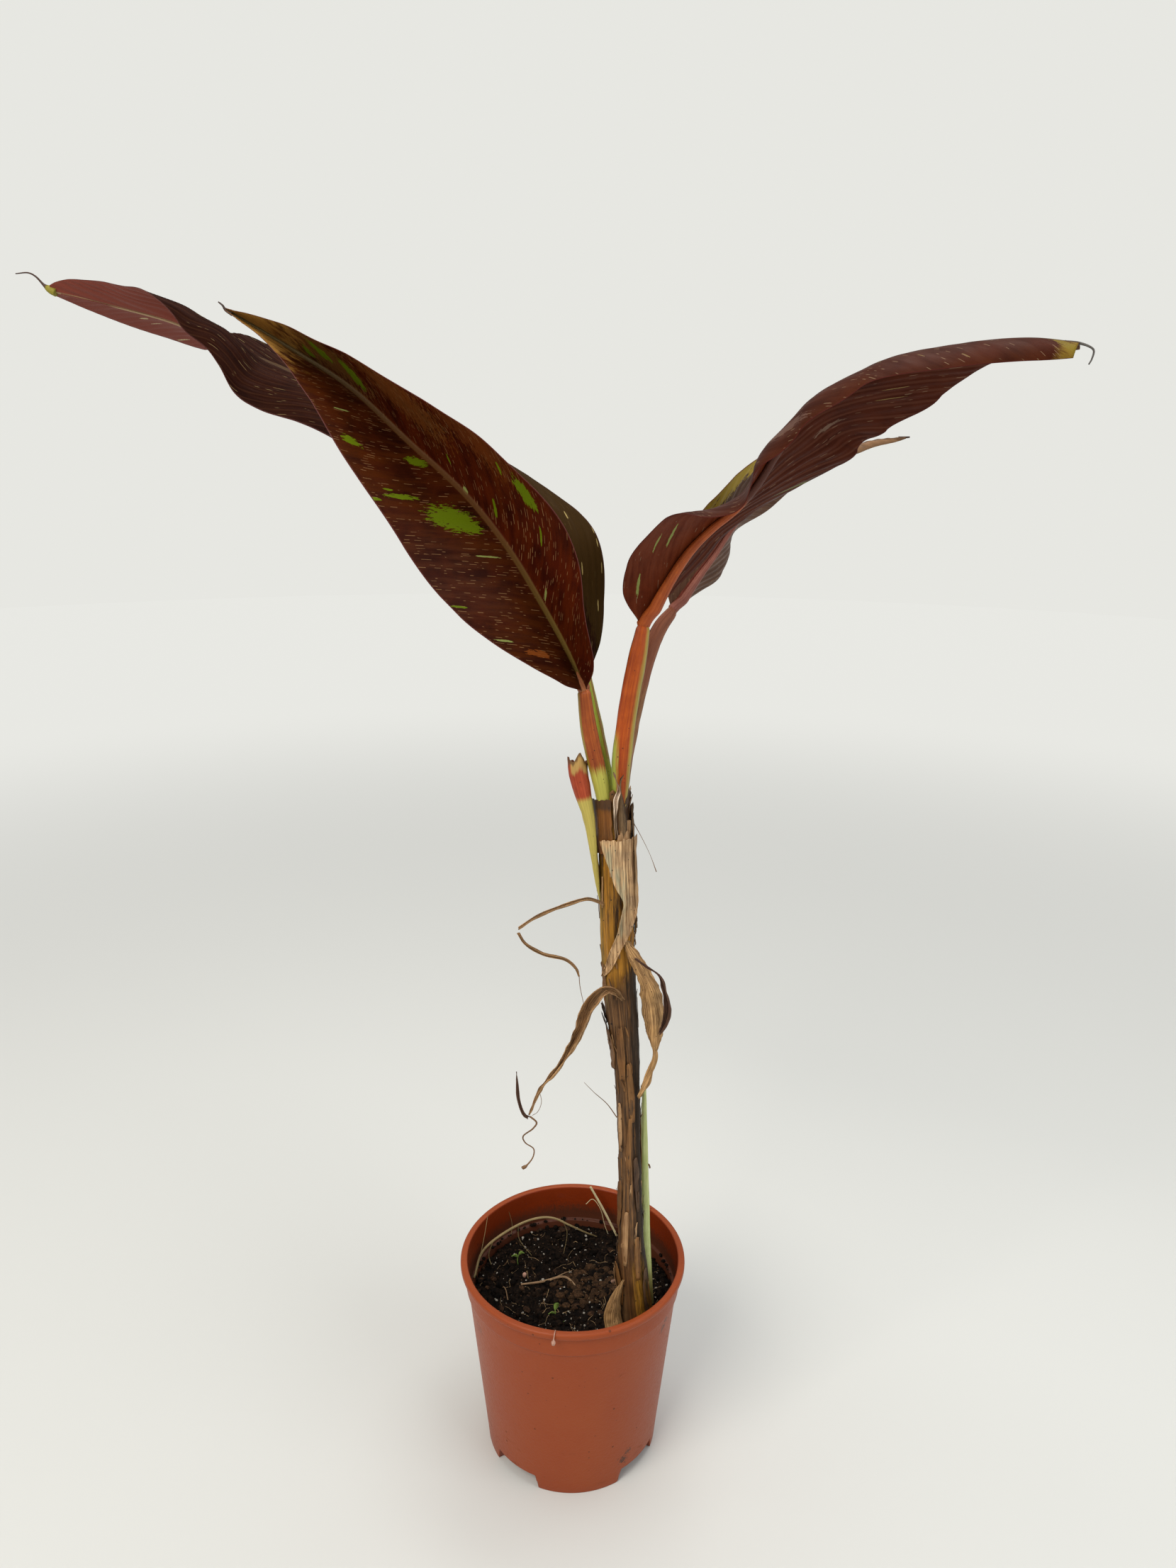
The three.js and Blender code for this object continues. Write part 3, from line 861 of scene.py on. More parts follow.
@dataclass(frozen=True)
class Patch:
    """A patch of another colour on a blade, its place and half sizes in mm."""

    along: float
    across: float
    breadth: float
    length: float
    colour: Colour
    jag: float = 0.6
    strength: float = 1.0


@dataclass(frozen=True)
class BladeFinish:
    """One face of a leaf blade."""

    dark: Colour
    mid: Colour
    streak: Colour
    streak_share: float = 0.6
    crest: Colour = (0.1, 0.04, 0.02)
    crest_share: float = 0.0
    crest_right: float = 1.0
    rib: tuple[Colour, Colour, Colour] = ((0.16, 0.09, 0.03), (0.08, 0.035, 0.012), (0.07, 0.04, 0.02))
    rib_half: float = 2.6
    margin: Colour = (0.12, 0.03, 0.025)
    margin_from: float = 0.982
    tip: Colour = (0.2, 0.12, 0.05)
    tip_from: float = 320.0
    tip_soft: float = 25.0
    dash: Colour = (0.25, 0.16, 0.08)
    dash_amount: float = 0.2
    dash_reach: float = 7.0
    right_tint: Colour = WHITE
    pitch: float = 5.5
    roughness: float = 0.44
    gloss: float = 0.22
    sheen: float = 0.0
    sheen_tint: Colour = (0.95, 0.85, 0.86)
    relief: float = 0.00025

    def build(self, name: str, plan: VeinPlan, patches: tuple[Patch, ...]) -> bpy.types.Material:
        """Makes the material.

        Args:
            name: Its name.
            plan: How the blade's veins run.
            patches: Patches of other colours.

        Returns:
            The material, which reads the marks "vein" and "blade".
        """
        g = Surface(name)
        vein, blade = g.mark("vein"), g.mark("blade")
        across, along, share = g.split(blade)
        side = g.split(vein)[2]
        lines = g.effect(Effects.veins(), Vein=vein, Pitch=self.pitch)
        colour = g.mix(g.effect(Effects.mottle(), Place=blade, Size=26.0)["Tone"], self.dark, self.mid)
        colour = g.mix(g.times(lines["Streak"], self.streak_share), colour, self.streak)
        if self.crest_share:
            share_of = g.step(side, -0.2, 0.2, self.crest_share, self.crest_share * self.crest_right)
            colour = g.mix(g.times(lines["Line"], share_of), colour, self.crest)
        if self.right_tint != WHITE:
            tint = g.mix(g.step(side, -0.2, 0.2), WHITE, self.right_tint)
            colour = g.mix(1.0, colour, tint, "MULTIPLY")
        if self.dash_amount:
            mask = g.effect(
                Effects.dashes(), Vein=vein, Gap=2.0, Reach=self.dash_reach, Amount=self.dash_amount)
            colour = g.mix(g.times(mask["Mask"], 0.7), colour, self.dash)
        edge = g.effect(Effects.mottle(), Place=vein, Size=9.0)["Tone"]
        tip = g.step(g.scaled(edge, self.tip_soft, along), self.tip_from, self.tip_from + self.tip_soft)
        colour = g.mix(tip, colour, self.tip)
        for patch in patches:
            q, p, which = (float(x) for x in plan.place(patch.along, patch.across))
            mask = g.effect(Effects.patch(), Vein=vein, Centre=(q, p, which),
                            Reach=(patch.breadth, patch.length, 0.6), Jag=patch.jag)["Mask"]
            amount = g.times(mask, patch.strength) if patch.strength < 1 else mask
            colour = g.mix(amount, colour, patch.colour)
        band = g.step(g.math("ABSOLUTE", across), self.rib_half + 0.8, self.rib_half - 0.6)
        tone = g.mix(g.step(along, 20.0, 150.0), self.rib[0], self.rib[1])
        tone = g.mix(g.step(along, 180.0, 330.0), tone, self.rib[2])
        colour = g.mix(g.times(band, 0.9), colour, tone)
        rim = g.step(g.math("ABSOLUTE", share), self.margin_from, self.margin_from + 0.01)
        sheen = {"Sheen Weight": self.sheen, "Sheen Roughness": 0.45, "Sheen Tint": self.sheen_tint}
        return g.dressed({
            "Base Color": g.mix(rim, colour, self.margin),
            "Roughness": g.step(lines["Streak"], 0.0, 1.0, self.roughness + 0.07, self.roughness - 0.05),
            "Specular IOR Level": self.gloss,
            "Normal": g.bump(lines["Height"], self.relief),
            **(sheen if self.sheen else {})})


@dataclass(frozen=True)
class Zone:
    """A zone of another colour on a limb: by turn from the front, positive to the right, and by height."""

    turn: float
    half_turn: float
    start: float
    end: float
    colour: Colour
    strength: float = 1.0
    ragged: float = 0.35
    blur: float = 12.0

    def mask(self, g: Graph, skin: Socket) -> Socket:
        """Where the zone lies.

        Args:
            g: The material that it is placed in.
            skin: The mark "skin".

        Returns:
            The mask, times the zone's strength.
        """
        turn = math.radians(self.turn)
        reach = math.cos(math.radians(self.half_turn)) if self.half_turn < HALF_TURN else ALL_ROUND
        mask = g.effect(
            Effects.zone(), Skin=skin, Facing=(math.sin(turn), math.cos(turn), 0.0), Reach=reach,
            Start=self.start, End=self.end, Blur=self.blur, Ragged=self.ragged)["Mask"]
        return g.times(mask, self.strength)


@dataclass(frozen=True)
class FibreFinish:
    """Skin of a stalk, trunk, sheath or dried leaf, with lengthwise fibres."""

    dark: Colour
    mid: Colour
    light: Colour
    light_share: float = 0.5
    zones: tuple[Zone, ...] = ()
    fibre: tuple[float, float] = (0.9, 40.0)
    girth: float = 8.0
    speck: Colour = (0.02, 0.012, 0.008)
    speck_amount: float = 0.12
    speck_size: float = 3.0
    roughness: float = 0.5
    gloss: float = 0.25
    relief: float = 0.0004
    contrast: float = 0.35

    def build(self, name: str) -> bpy.types.Material:
        """Makes the material.

        Args:
            name: Its name.

        Returns:
            The material, which reads the mark "skin".
        """
        g = Surface(name)
        skin = g.mark("skin")
        x, y, z = g.split(skin)
        place = g.joined(g.times(x, self.girth), g.times(y, self.girth), z)
        fibre = g.effect(Effects.fibres(), Place=place, Width=self.fibre[0], Length=self.fibre[1])
        colour = g.mix(g.effect(Effects.mottle(), Place=place, Size=14.0)["Tone"], self.dark, self.mid)
        colour = g.mix(g.times(fibre["Tone"], self.light_share), colour, self.light)
        for zone in self.zones:
            colour = g.mix(zone.mask(g, skin), colour, zone.colour)
        worn = g.scaled(g.minus(fibre["Tone"], 0.5), self.contrast, 1.0)
        colour = g.mix(1.0, colour, g.joined(worn, worn, worn), "MULTIPLY")
        if self.speck_amount:
            specks = g.effect(Effects.flecks(), Place=place, Size=self.speck_size, Amount=self.speck_amount)
            colour = g.mix(specks["Mask"], colour, self.speck)
        return g.dressed({
            "Base Color": colour,
            "Roughness": g.step(fibre["Tone"], 0.0, 1.0, self.roughness + 0.08, self.roughness - 0.06),
            "Specular IOR Level": self.gloss,
            "Normal": g.bump(fibre["Height"], self.relief)})


@dataclass(frozen=True)
class Stain:
    """A dark stain on the pot: its place and reach in mm, and its strength."""

    place: Place
    reach: float
    depth: float


@dataclass(frozen=True)
class PotFinish:
    """Satin terracotta-coloured plastic, dusty, with dark stains, and inside soil dirt, damp streaks and
    painted shade.
    """

    colour: Colour = (0.27, 0.05, 0.012)
    faded: Colour = (0.3, 0.064, 0.016)
    dirt: Colour = (0.05, 0.022, 0.012)
    # Colour of the inside: painted shade in the pot's hollow, deeper in damp streaks.
    damp_and_shade: Colour = (0.17, 0.018, 0.002)
    stains: tuple[Stain, ...] = (
        Stain((44.0, -62.0, 24.0), 7.0, 0.9), Stain((47.0, -60.0, 31.0), 5.0, 0.8),
        Stain((76.0, -47.0, 146.0), 6.0, 0.75), Stain((79.0, -44.0, 152.0), 5.0, 0.7),
        Stain((-80.0, -44.0, 140.0), 9.0, 0.4), Stain((12.0, -96.0, 176.0), 4.0, 0.4),
        Stain((-20.0, 89.0, 168.0), 12.0, 0.6), Stain((30.0, 85.0, 160.0), 10.0, 0.6))

    def build(self, name: str) -> bpy.types.Material:
        """Makes the material.

        Args:
            name: Its name.

        Returns:
            The material, which reads the mark "skin": turn, and height in mm with the inside below zero.
        """
        g = Surface(name)
        skin, place = g.mark("skin"), g.place_mm()
        height = g.split(skin)[2]
        inside = g.step(height, 0.5, -0.5)
        tone = g.effect(Effects.mottle(), Place=place, Size=55.0)["Tone"]
        colour = g.mix(g.times(tone, 0.45), self.colour, self.faded)
        fine = g.effect(Effects.mottle(), Place=place, Size=2.5)["Tone"]
        colour = g.mix(g.times(fine, 0.08), colour, self.faded)
        speck = g.effect(Effects.flecks(), Place=place, Size=5.0, Amount=0.1)["Mask"]
        small = g.effect(Effects.flecks(), Place=place, Size=2.2, Amount=0.1)["Mask"]
        colour = g.mix(g.times(g.math("MAXIMUM", speck, small), 0.6), colour, self.dirt)
        grain = g.noise(g.vector("MULTIPLY", place, (0.62, 0.62, 0.4)), 1.0, 4.0, 0.7)
        for stain in self.stains:
            near = g.scaled(grain, -4.0 * stain.reach, g.vector("DISTANCE", place, stain.place))
            mask = g.step(near, -1.45 * stain.reach, -1.68 * stain.reach)
            colour = g.mix(g.times(mask, stain.depth), colour, self.dirt)
        smear = g.noise(g.vector("MULTIPLY", place, (0.03, 0.03, 0.09)), 1.0, 5.0, 0.62, 0.6)
        worn = g.step(g.scaled(g.step(height, 70.0, 5.0), 0.05, smear), 0.64, 0.82)
        colour = g.mix(g.times(worn, 0.45), colour, self.dirt)
        # The whole inside is darkened: painted shade in the pot's hollow, deeper where noisy streaks stand
        # for damp.
        wet_and_shaded = g.step(g.plus(smear, g.step(height, -70.0, -20.0, 0.25, 0.0)), 0.38, 0.6)
        colour = g.mix(g.times(inside, g.scaled(wet_and_shaded, 0.45, 0.4)), colour, self.damp_and_shade)
        near_soil = g.scaled(grain, 22.0, height)
        grime = g.times(g.step(near_soil, -158.0, -144.0), g.step(height, -120.0, -130.0))
        return g.dressed({
            "Base Color": g.mix(g.times(grime, 0.8), colour, self.dirt),
            "Roughness": g.scaled(g.math("MAXIMUM", worn, speck), 0.3, g.scaled(fine, 0.08, 0.36)),
            "Specular IOR Level": 0.2,
            "Normal": g.bump(g.plus(g.times(fine, 0.5), speck), 0.00015)})


@dataclass(frozen=True)
class SoilFinish:
    """Dark crumbly potting mix, clods, perlite or bark, by its colours."""

    dark: Colour = (0.002, 0.0012, 0.0008)
    mid: Colour = (0.024, 0.0125, 0.0065)
    pale: Colour = (0.1, 0.055, 0.025)
    pale_share: float = 0.2
    grain: float = 1.8
    roughness: float = 0.92
    relief: float = 0.0008

    def build(self, name: str) -> bpy.types.Material:
        """Makes the material.

        Args:
            name: Its name.

        Returns:
            The material.
        """
        g = Surface(name)
        place = g.place_mm()
        tone = g.effect(Effects.mottle(), Place=place, Size=self.grain * 4)["Tone"]
        fine = g.effect(Effects.mottle(), Place=place, Size=self.grain)["Tone"]
        bits = g.effect(Effects.flecks(), Place=place, Size=self.grain * 1.6, Amount=self.pale_share)["Mask"]
        amount = g.times(bits, 0.8)
        earth = g.mix(g.times(tone, fine), self.dark, self.mid)
        return g.dressed({
            "Base Color": g.mix(amount, earth, self.pale),
            "Roughness": g.scaled(fine, -0.12, self.roughness),
            "Specular IOR Level": 0.1,
            "Normal": g.bump(fine, self.relief)})


@dataclass(frozen=True)
class FloorFinish:
    """Plain pale studio floor that runs out into the backdrop."""

    colour: Colour = (0.65, 0.65, 0.62)
    shade: Colour = (0.6, 0.6, 0.57)
    backdrop: Colour = (0.8, 0.8, 0.76)
    near: float = 0.7
    far: float = 3.0

    def build(self, name: str) -> bpy.types.Material:
        """Makes the material.

        Args:
            name: Its name.

        Returns:
            The material.
        """
        g = Surface(name)
        place = g.place()
        tone = g.effect(Effects.mottle(), Place=place, Size=0.4)["Tone"]
        away = g.step(g.vector("LENGTH", place), self.near, self.far)
        return g.dressed({
            "Base Color": g.mix(away, g.mix(g.times(tone, 0.05), self.colour, self.shade), BLACK),
            "Emission Color": g.mix(away, BLACK, self.backdrop),
            "Emission Strength": 1.0,
            "Roughness": 0.9,
            "Specular IOR Level": 0.1})


# Leaves

LIME = (0.1, 0.14, 0.003)
LIME_PALE = (0.2, 0.22, 0.06)
STRAW = (0.3, 0.22, 0.08)
CREAM = (0.42, 0.33, 0.18)
OLIVE = (0.5, 0.35, 0.04)
DARK_THREAD = FibreFinish(
    dark=(0.02, 0.01, 0.008), mid=(0.05, 0.025, 0.018), light=(0.1, 0.06, 0.04), speck_amount=0,
    roughness=0.5)


@dataclass(frozen=True)
class Leaf:
    """A leaf blade with its raised midrib, side veins and dry tip."""

    name: str
    form: BladeForm
    plan: VeinPlan
    upper: BladeFinish
    under: BladeFinish
    rib_finish: FibreFinish
    filament: Limb
    filament_finish: FibreFinish
    patches: tuple[Patch, ...] = ()
    rib_radius: Stations = ((0, 5.0), (0.1, 4.2), (0.3, 3.0), (0.7, 1.6), (1, 0.5))
    rib_inset: float = 5.0
    rib_end: float = 0.985
    rib_rows: int = 156
    rib_sides: int = 16
    above: float = 0.3
    below: float = 0.3
    ridge: float = 0.35
    pitch: float = 5.6
    ruffle: float = 0.8
    right_ridge: Stations = ((0, 1), (1, 1))
    rows: int = 224
    seed: int = 1

    def columns(self) -> Array:
        """Shares of a half's width, closer together by the rib."""
        near = [0, 0.012, 0.026, 0.042, 0.06, 0.08, 0.1]
        return np.concatenate([near, np.linspace(0.1, 1, 46)[1:]])

    def blade(self) -> Shell:
        """The blade as a closed thin sheet.

        Returns:
            The shell, with the marks "vein" and "blade".
        """
        shares = np.linspace(0, 1, self.rows)
        columns = self.columns()
        grid, across = self.form.surface(shares, columns)
        length = Line(self.form.rib).length
        along = np.broadcast_to((shares * length)[:, None], across.shape)
        share = np.concatenate([-columns[:0:-1], columns])
        share = np.broadcast_to(share[None], across.shape)
        q, p, side = self.plan.place(along, across)
        normal = normals_of(grid)
        away = np.abs(share)
        wander = ripple(places(q * 0.4, p * 0.25, side * 40), 12, self.seed) * 1.5
        crest = 0.5 + 0.5 * np.cos(2 * np.pi * (q + wander) / self.pitch)
        strength = self.ridge * (0.75 + 0.25 * ripple(grid, 30, self.seed + 2)) * smooth(away, 0.02, 0.14)
        strength = strength * (1 - 0.9 * smooth(away, 0.84, 1.0))
        strength = strength * np.where(share > 0, value_at(self.right_ridge, shares)[:, None], 1.0)
        wave = ripple(grid, 34, self.seed + 3) * smooth(away, 0.25, 1.0) * self.ruffle
        fade = smooth(shares, 0, 0.04)[:, None] * smooth(1 - shares, 0, 0.03)[:, None]
        grid = grid + normal * ((crest - 0.5) * strength * 2 * (0.2 + 0.8 * fade) + wave * fade)[..., None]
        marks = {"vein": places(q, p, side), "blade": places(across, along, share)}
        thin = 1 - 0.5 * smooth(away, 0.9, 1.0)
        return thin_sheet(grid, self.above * thin, self.below * thin, marks, (0, 1, 1))

    def midrib(self) -> Shell:
        """The raised midrib below the blade.

        Returns:
            The closed tube, with the mark "skin".
        """
        length = Line(self.form.rib).length
        root = -self.rib_inset / length
        shares = np.linspace(root, self.rib_end, self.rib_rows)
        centre, along, normal, side = self.form.axes(shares)
        radius = (value_at(self.rib_radius, shares) * (0.45 + 0.55 * smooth(shares, root, 0)))[:, None]
        turn = np.linspace(0, 2 * np.pi, self.rib_sides, endpoint=False)
        sunk = centre - normal * (self.below + 0.72 * radius) * smooth(shares, 0, 0.045)[:, None]
        grid = sunk[:, None] + side[:, None] * np.sin(turn)[None, :, None] * radius[:, None]
        grid = grid - normal[:, None] * (np.cos(turn) * 0.8)[None, :, None] * radius[:, None]
        skin = places(-np.sin(turn)[None], np.cos(turn)[None], (shares * length)[:, None])
        return closed_tube(grid[:, ::-1], {"skin": skin[:, ::-1]}, 2)

    def build(self) -> Pieces:
        """Builds and dresses the leaf.

        Returns:
            Its one piece.
        """
        shell = merged([self.blade(), self.midrib(), self.filament.tube(36, 12, 3)])
        materials = [
            self.upper.build(f"{self.name} upper face", self.plan, self.patches),
            self.under.build(f"{self.name} under face", self.plan, self.patches),
            self.rib_finish.build(f"{self.name} midrib"),
            self.filament_finish.build(f"{self.name} tip thread"),
        ]
        return [make_piece(f"{self.name}_blade", shell, materials, (self.name,))]


LEFT_LOWER_PATCHES = (
    Patch(285, 22, 22, 24, (0.16, 0.07, 0.015), 1.6, 0.55),
    Patch(225, 42, 26, 22, (0.16, 0.052, 0.01), 1.6, 0.5),
    Patch(170, 58, 22, 18, (0.14, 0.038, 0.007), 1.6, 0.4),
    Patch(40, -28, 2.6, 9, (0.2, 0.05, 0.008), 1.4, 0.8), Patch(150, -23, 9.5, 17, LIME, 1.1),
    Patch(139, -16, 5, 9, LIME, 0.9), Patch(196, -10, 4.2, 7.5, LIME, 1.0),
    Patch(183, -46, 1.9, 11, LIME, 1.3), Patch(191, -50, 0.9, 3.5, LIME), Patch(191, -64, 1.2, 4, LIME),
    Patch(228, -45, 3.6, 5.5, LIME, 1.2), Patch(130, 53, 7, 8.5, LIME, 0.9), Patch(262, 19, 5, 12, LIME, 0.9),
    Patch(287, 21, 5.5, 8, LIME, 1.2), Patch(298, 10, 2.6, 6, LIME, 1.2), Patch(115, -18, 0.7, 9, LIME_PALE),
    Patch(137, 14, 1.3, 8, LIME), Patch(106, 36, 0.8, 7, LIME), Patch(150, 52, 1.1, 5, LIME),
    Patch(180, 16, 0.9, 4, LIME), Patch(160, 2, 2, 3, LIME_PALE), Patch(72, 8, 1.1, 5, LIME_PALE),
    Patch(60, -45, 0.8, 7, LIME_PALE), Patch(96, -58, 0.8, 6, LIME), Patch(250, -30, 0.8, 6, LIME_PALE))
LEAF_LEFT_LOWER = Leaf(
    name="leaf_left_lower",
    form=BladeForm(
        rib=(
            (5.7, -25, 680.9), (-5.6, -26, 706.5), (-22.6, -25, 737.7), (-47.1, -23, 777.8),
            (-75.2, -19, 812.5), (-116.8, -12, 849.8), (-155.4, -4, 883.7), (-196.3, 4, 908.8),
            (-240.6, 10, 933.7)),
        roll=((0, -60), (0.3, -56), (0.6, -52), (1, -45)),
        left=Half(
            width=(
                (0, 4), (0.04, 26), (0.12, 46), (0.25, 62), (0.4, 69), (0.55, 65), (0.7, 52), (0.85, 31),
                (0.95, 12), (1, 1.5)),
            lift=((0, 40), (0.1, 32), (0.25, 14), (0.4, 20), (0.55, 31), (0.75, 42), (0.88, 50), (1, 48)),
            curl=((0, -8), (1, -8))),
        right=Half(
            width=(
                (0, 4), (0.04, 24), (0.12, 44), (0.25, 60), (0.4, 66), (0.55, 62), (0.7, 50), (0.85, 30),
                (0.95, 12), (1, 1.5)),
            lift=((0, 98), (0.1, 84), (0.28, 72), (0.4, 78), (0.6, 88), (0.8, 98), (1, 98)),
            curl=((0, 10), (1, 10)))),
    plan=VeinPlan((0.6, 0.1), (0.8, 0.1)),
    upper=BladeFinish(
        dark=(0.018, 0.0026, 0.0006), mid=(0.046, 0.0072, 0.0012), streak=(0.078, 0.0185, 0.003),
        streak_share=0.55, rib=((0.12, 0.075, 0.016), (0.09, 0.036, 0.01), (0.06, 0.045, 0.018)),
        rib_half=1.9, margin=(0.09, 0.022, 0.018), margin_from=0.985, tip=(0.27, 0.135, 0.028), tip_from=310,
        tip_soft=40, dash=(0.26, 0.14, 0.06), dash_amount=0.4, dash_reach=10, right_tint=(1.15, 0.72, 0.7),
        gloss=0.08, relief=0.00012),
    under=BladeFinish(
        dark=(0.05, 0.015, 0.011), mid=(0.08, 0.026, 0.019), streak=(0.11, 0.04, 0.03),
        crest=(0.13, 0.06, 0.045), crest_share=0.35, margin=(0.1, 0.03, 0.025), tip=(0.16, 0.1, 0.04),
        tip_from=330, sheen=0.03, gloss=0.14, dash_amount=0.1),
    rib_finish=FibreFinish(
        dark=(0.2, 0.05, 0.02), mid=(0.3, 0.09, 0.03), light=(0.35, 0.16, 0.06),
        zones=(Zone(0, 180, 300, 500, (0.3, 0.2, 0.07)),), speck_amount=0.05),
    filament=Limb(
        ((-236, 9.4, 931), (-240.6, 10, 933.7), (-242.4, 10.5, 936.4), (-245.3, 11, 938.7)),
        ((0, 1.5), (0.5, 0.9), (1, 0.45))),
    filament_finish=DARK_THREAD, patches=LEFT_LOWER_PATCHES, above=0.0, below=0.6, ridge=0.16, ruffle=1.2,
    seed=3)

LEAF_LEFT_UPPER = Leaf(
    name="leaf_left_upper",
    form=BladeForm(
        rib=(
            (7, 4, 686.5), (-9.7, 18, 728.8), (-39.9, 40, 780.7), (-95, 72, 833), (-162.5, 98, 873.9),
            (-231.2, 118, 902.8), (-276.5, 126, 920), (-317.4, 132, 936.7), (-367.4, 137, 949.2),
            (-415.3, 140, 959.4)),
        roll=((0, -45), (0.3, -38), (0.5, -30), (0.62, -22), (0.74, 0), (0.86, 22), (1, 34)),
        left=Half(
            width=(
                (0, 4), (0.04, 26), (0.12, 46), (0.25, 58), (0.45, 64), (0.6, 60), (0.75, 50), (0.88, 30),
                (0.96, 17), (0.99, 9), (1, 5)),
            lift=(
                (0, 10), (0.1, 42), (0.25, 61), (0.4, 50), (0.55, 36), (0.62, 23), (0.66, 18), (0.7, 52),
                (0.735, 74), (0.78, 74), (0.82, 50), (0.86, 13), (0.92, 10), (1, 24)),
            curl=(
                (0, -30), (0.25, -60), (0.55, -60), (0.66, -60), (0.7, -114), (0.735, -150), (0.78, -146),
                (0.82, -84), (0.86, -10), (1, 0))),
        right=Half(
            width=(
                (0, 4), (0.04, 24), (0.12, 46), (0.2, 56), (0.32, 62), (0.45, 64), (0.6, 60), (0.75, 48),
                (0.88, 29), (0.96, 14), (1, 4)),
            lift=(
                (0, -34), (0.1, -14), (0.17, 0), (0.25, -12), (0.35, -18), (0.5, -11), (0.62, -1), (0.68, 8),
                (0.72, 20), (0.755, 26), (0.8, 2), (0.86, 6), (1, 8)),
            curl=((0, -20), (0.6, -30), (1, -10)))),
    plan=VeinPlan((6.0, 0.0), (2.2, 0.1)),
    # The upper face is painted much darker than the lower leaf's: painted shade, for a face that lies in
    # shade.
    upper=BladeFinish(
        dark=(0.008, 0.0015, 0.0005), mid=(0.016, 0.003, 0.001), streak=(0.026, 0.0062, 0.002),
        crest=(0.05, 0.018, 0.008), crest_share=0.35, margin=(0.07, 0.025, 0.022), tip=(0.16, 0.1, 0.03),
        tip_from=560, dash=(0.2, 0.14, 0.06), dash_amount=0.16, dash_reach=12, gloss=0.03, roughness=0.65),
    under=BladeFinish(
        dark=(0.026, 0.011, 0.003), mid=(0.042, 0.018, 0.005), streak=(0.06, 0.026, 0.008),
        crest=(0.075, 0.035, 0.012), crest_share=0.3,
        rib=((0.1, 0.055, 0.015), (0.08, 0.04, 0.015), (0.36, 0.24, 0.13)), rib_half=0.9,
        margin=(0.09, 0.035, 0.03), tip=(0.17, 0.038, 0.024), tip_from=385, tip_soft=40, sheen=0.03,
        gloss=0.1, dash=(0.27, 0.17, 0.08), dash_amount=0.22, dash_reach=8),
    rib_finish=FibreFinish(
        dark=(0.06, 0.022, 0.01), mid=(0.1, 0.04, 0.018), light=(0.16, 0.07, 0.04),
        zones=(
            Zone(0, 180, 395, 440, (0.17, 0.04, 0.026)), Zone(0, 180, 440, 505, (0.36, 0.24, 0.13)),
            Zone(0, 180, 505, 600, (0.17, 0.04, 0.026))),
        speck_amount=0.04),
    filament=Limb(
        (
            (-411, 139.5, 958.6), (-415.2, 140, 960.4), (-420.2, 141, 963.5), (-427, 142, 970.3),
            (-432.7, 143, 972.9), (-443.2, 144, 972.4)),
        ((0, 3.4), (0.16, 2.9), (0.3, 1.2), (0.5, 0.75), (1, 0.4))),
    filament_finish=FibreFinish(
        dark=(0.03, 0.012, 0.008), mid=(0.06, 0.028, 0.018), light=(0.1, 0.05, 0.03), speck_amount=0,
        zones=(Zone(0, 180, -10, 7, (0.24, 0.2, 0.02), 1.0, 0.1, 3),)),
    patches=(
        Patch(90, 48, 60, 75, (0.034, 0.017, 0.003), 0.4, 0.85), Patch(388, -2, 1.2, 5, LIME),
        Patch(478, 10, 0.7, 4, CREAM), Patch(469, 14, 0.7, 5, CREAM), Patch(453, 31, 0.9, 6, CREAM),
        Patch(440, -22, 0.6, 5, STRAW), Patch(430, 24, 0.6, 4, STRAW), Patch(99, 54, 0.45, 4, STRAW),
        Patch(74, 28, 0.5, 4, STRAW), Patch(71, 45, 0.4, 4, STRAW), Patch(46, 31, 0.45, 4, STRAW),
        Patch(115, 43, 0.4, 4, STRAW), Patch(88, 50, 0.4, 3, STRAW), Patch(60, 50, 0.4, 3, STRAW)),
    rib_radius=((0, 5.0), (0.1, 4.2), (0.3, 3.0), (0.7, 1.4), (0.85, 0.8), (1, 0.4)), ridge=0.5, ruffle=0.6,
    seed=5)

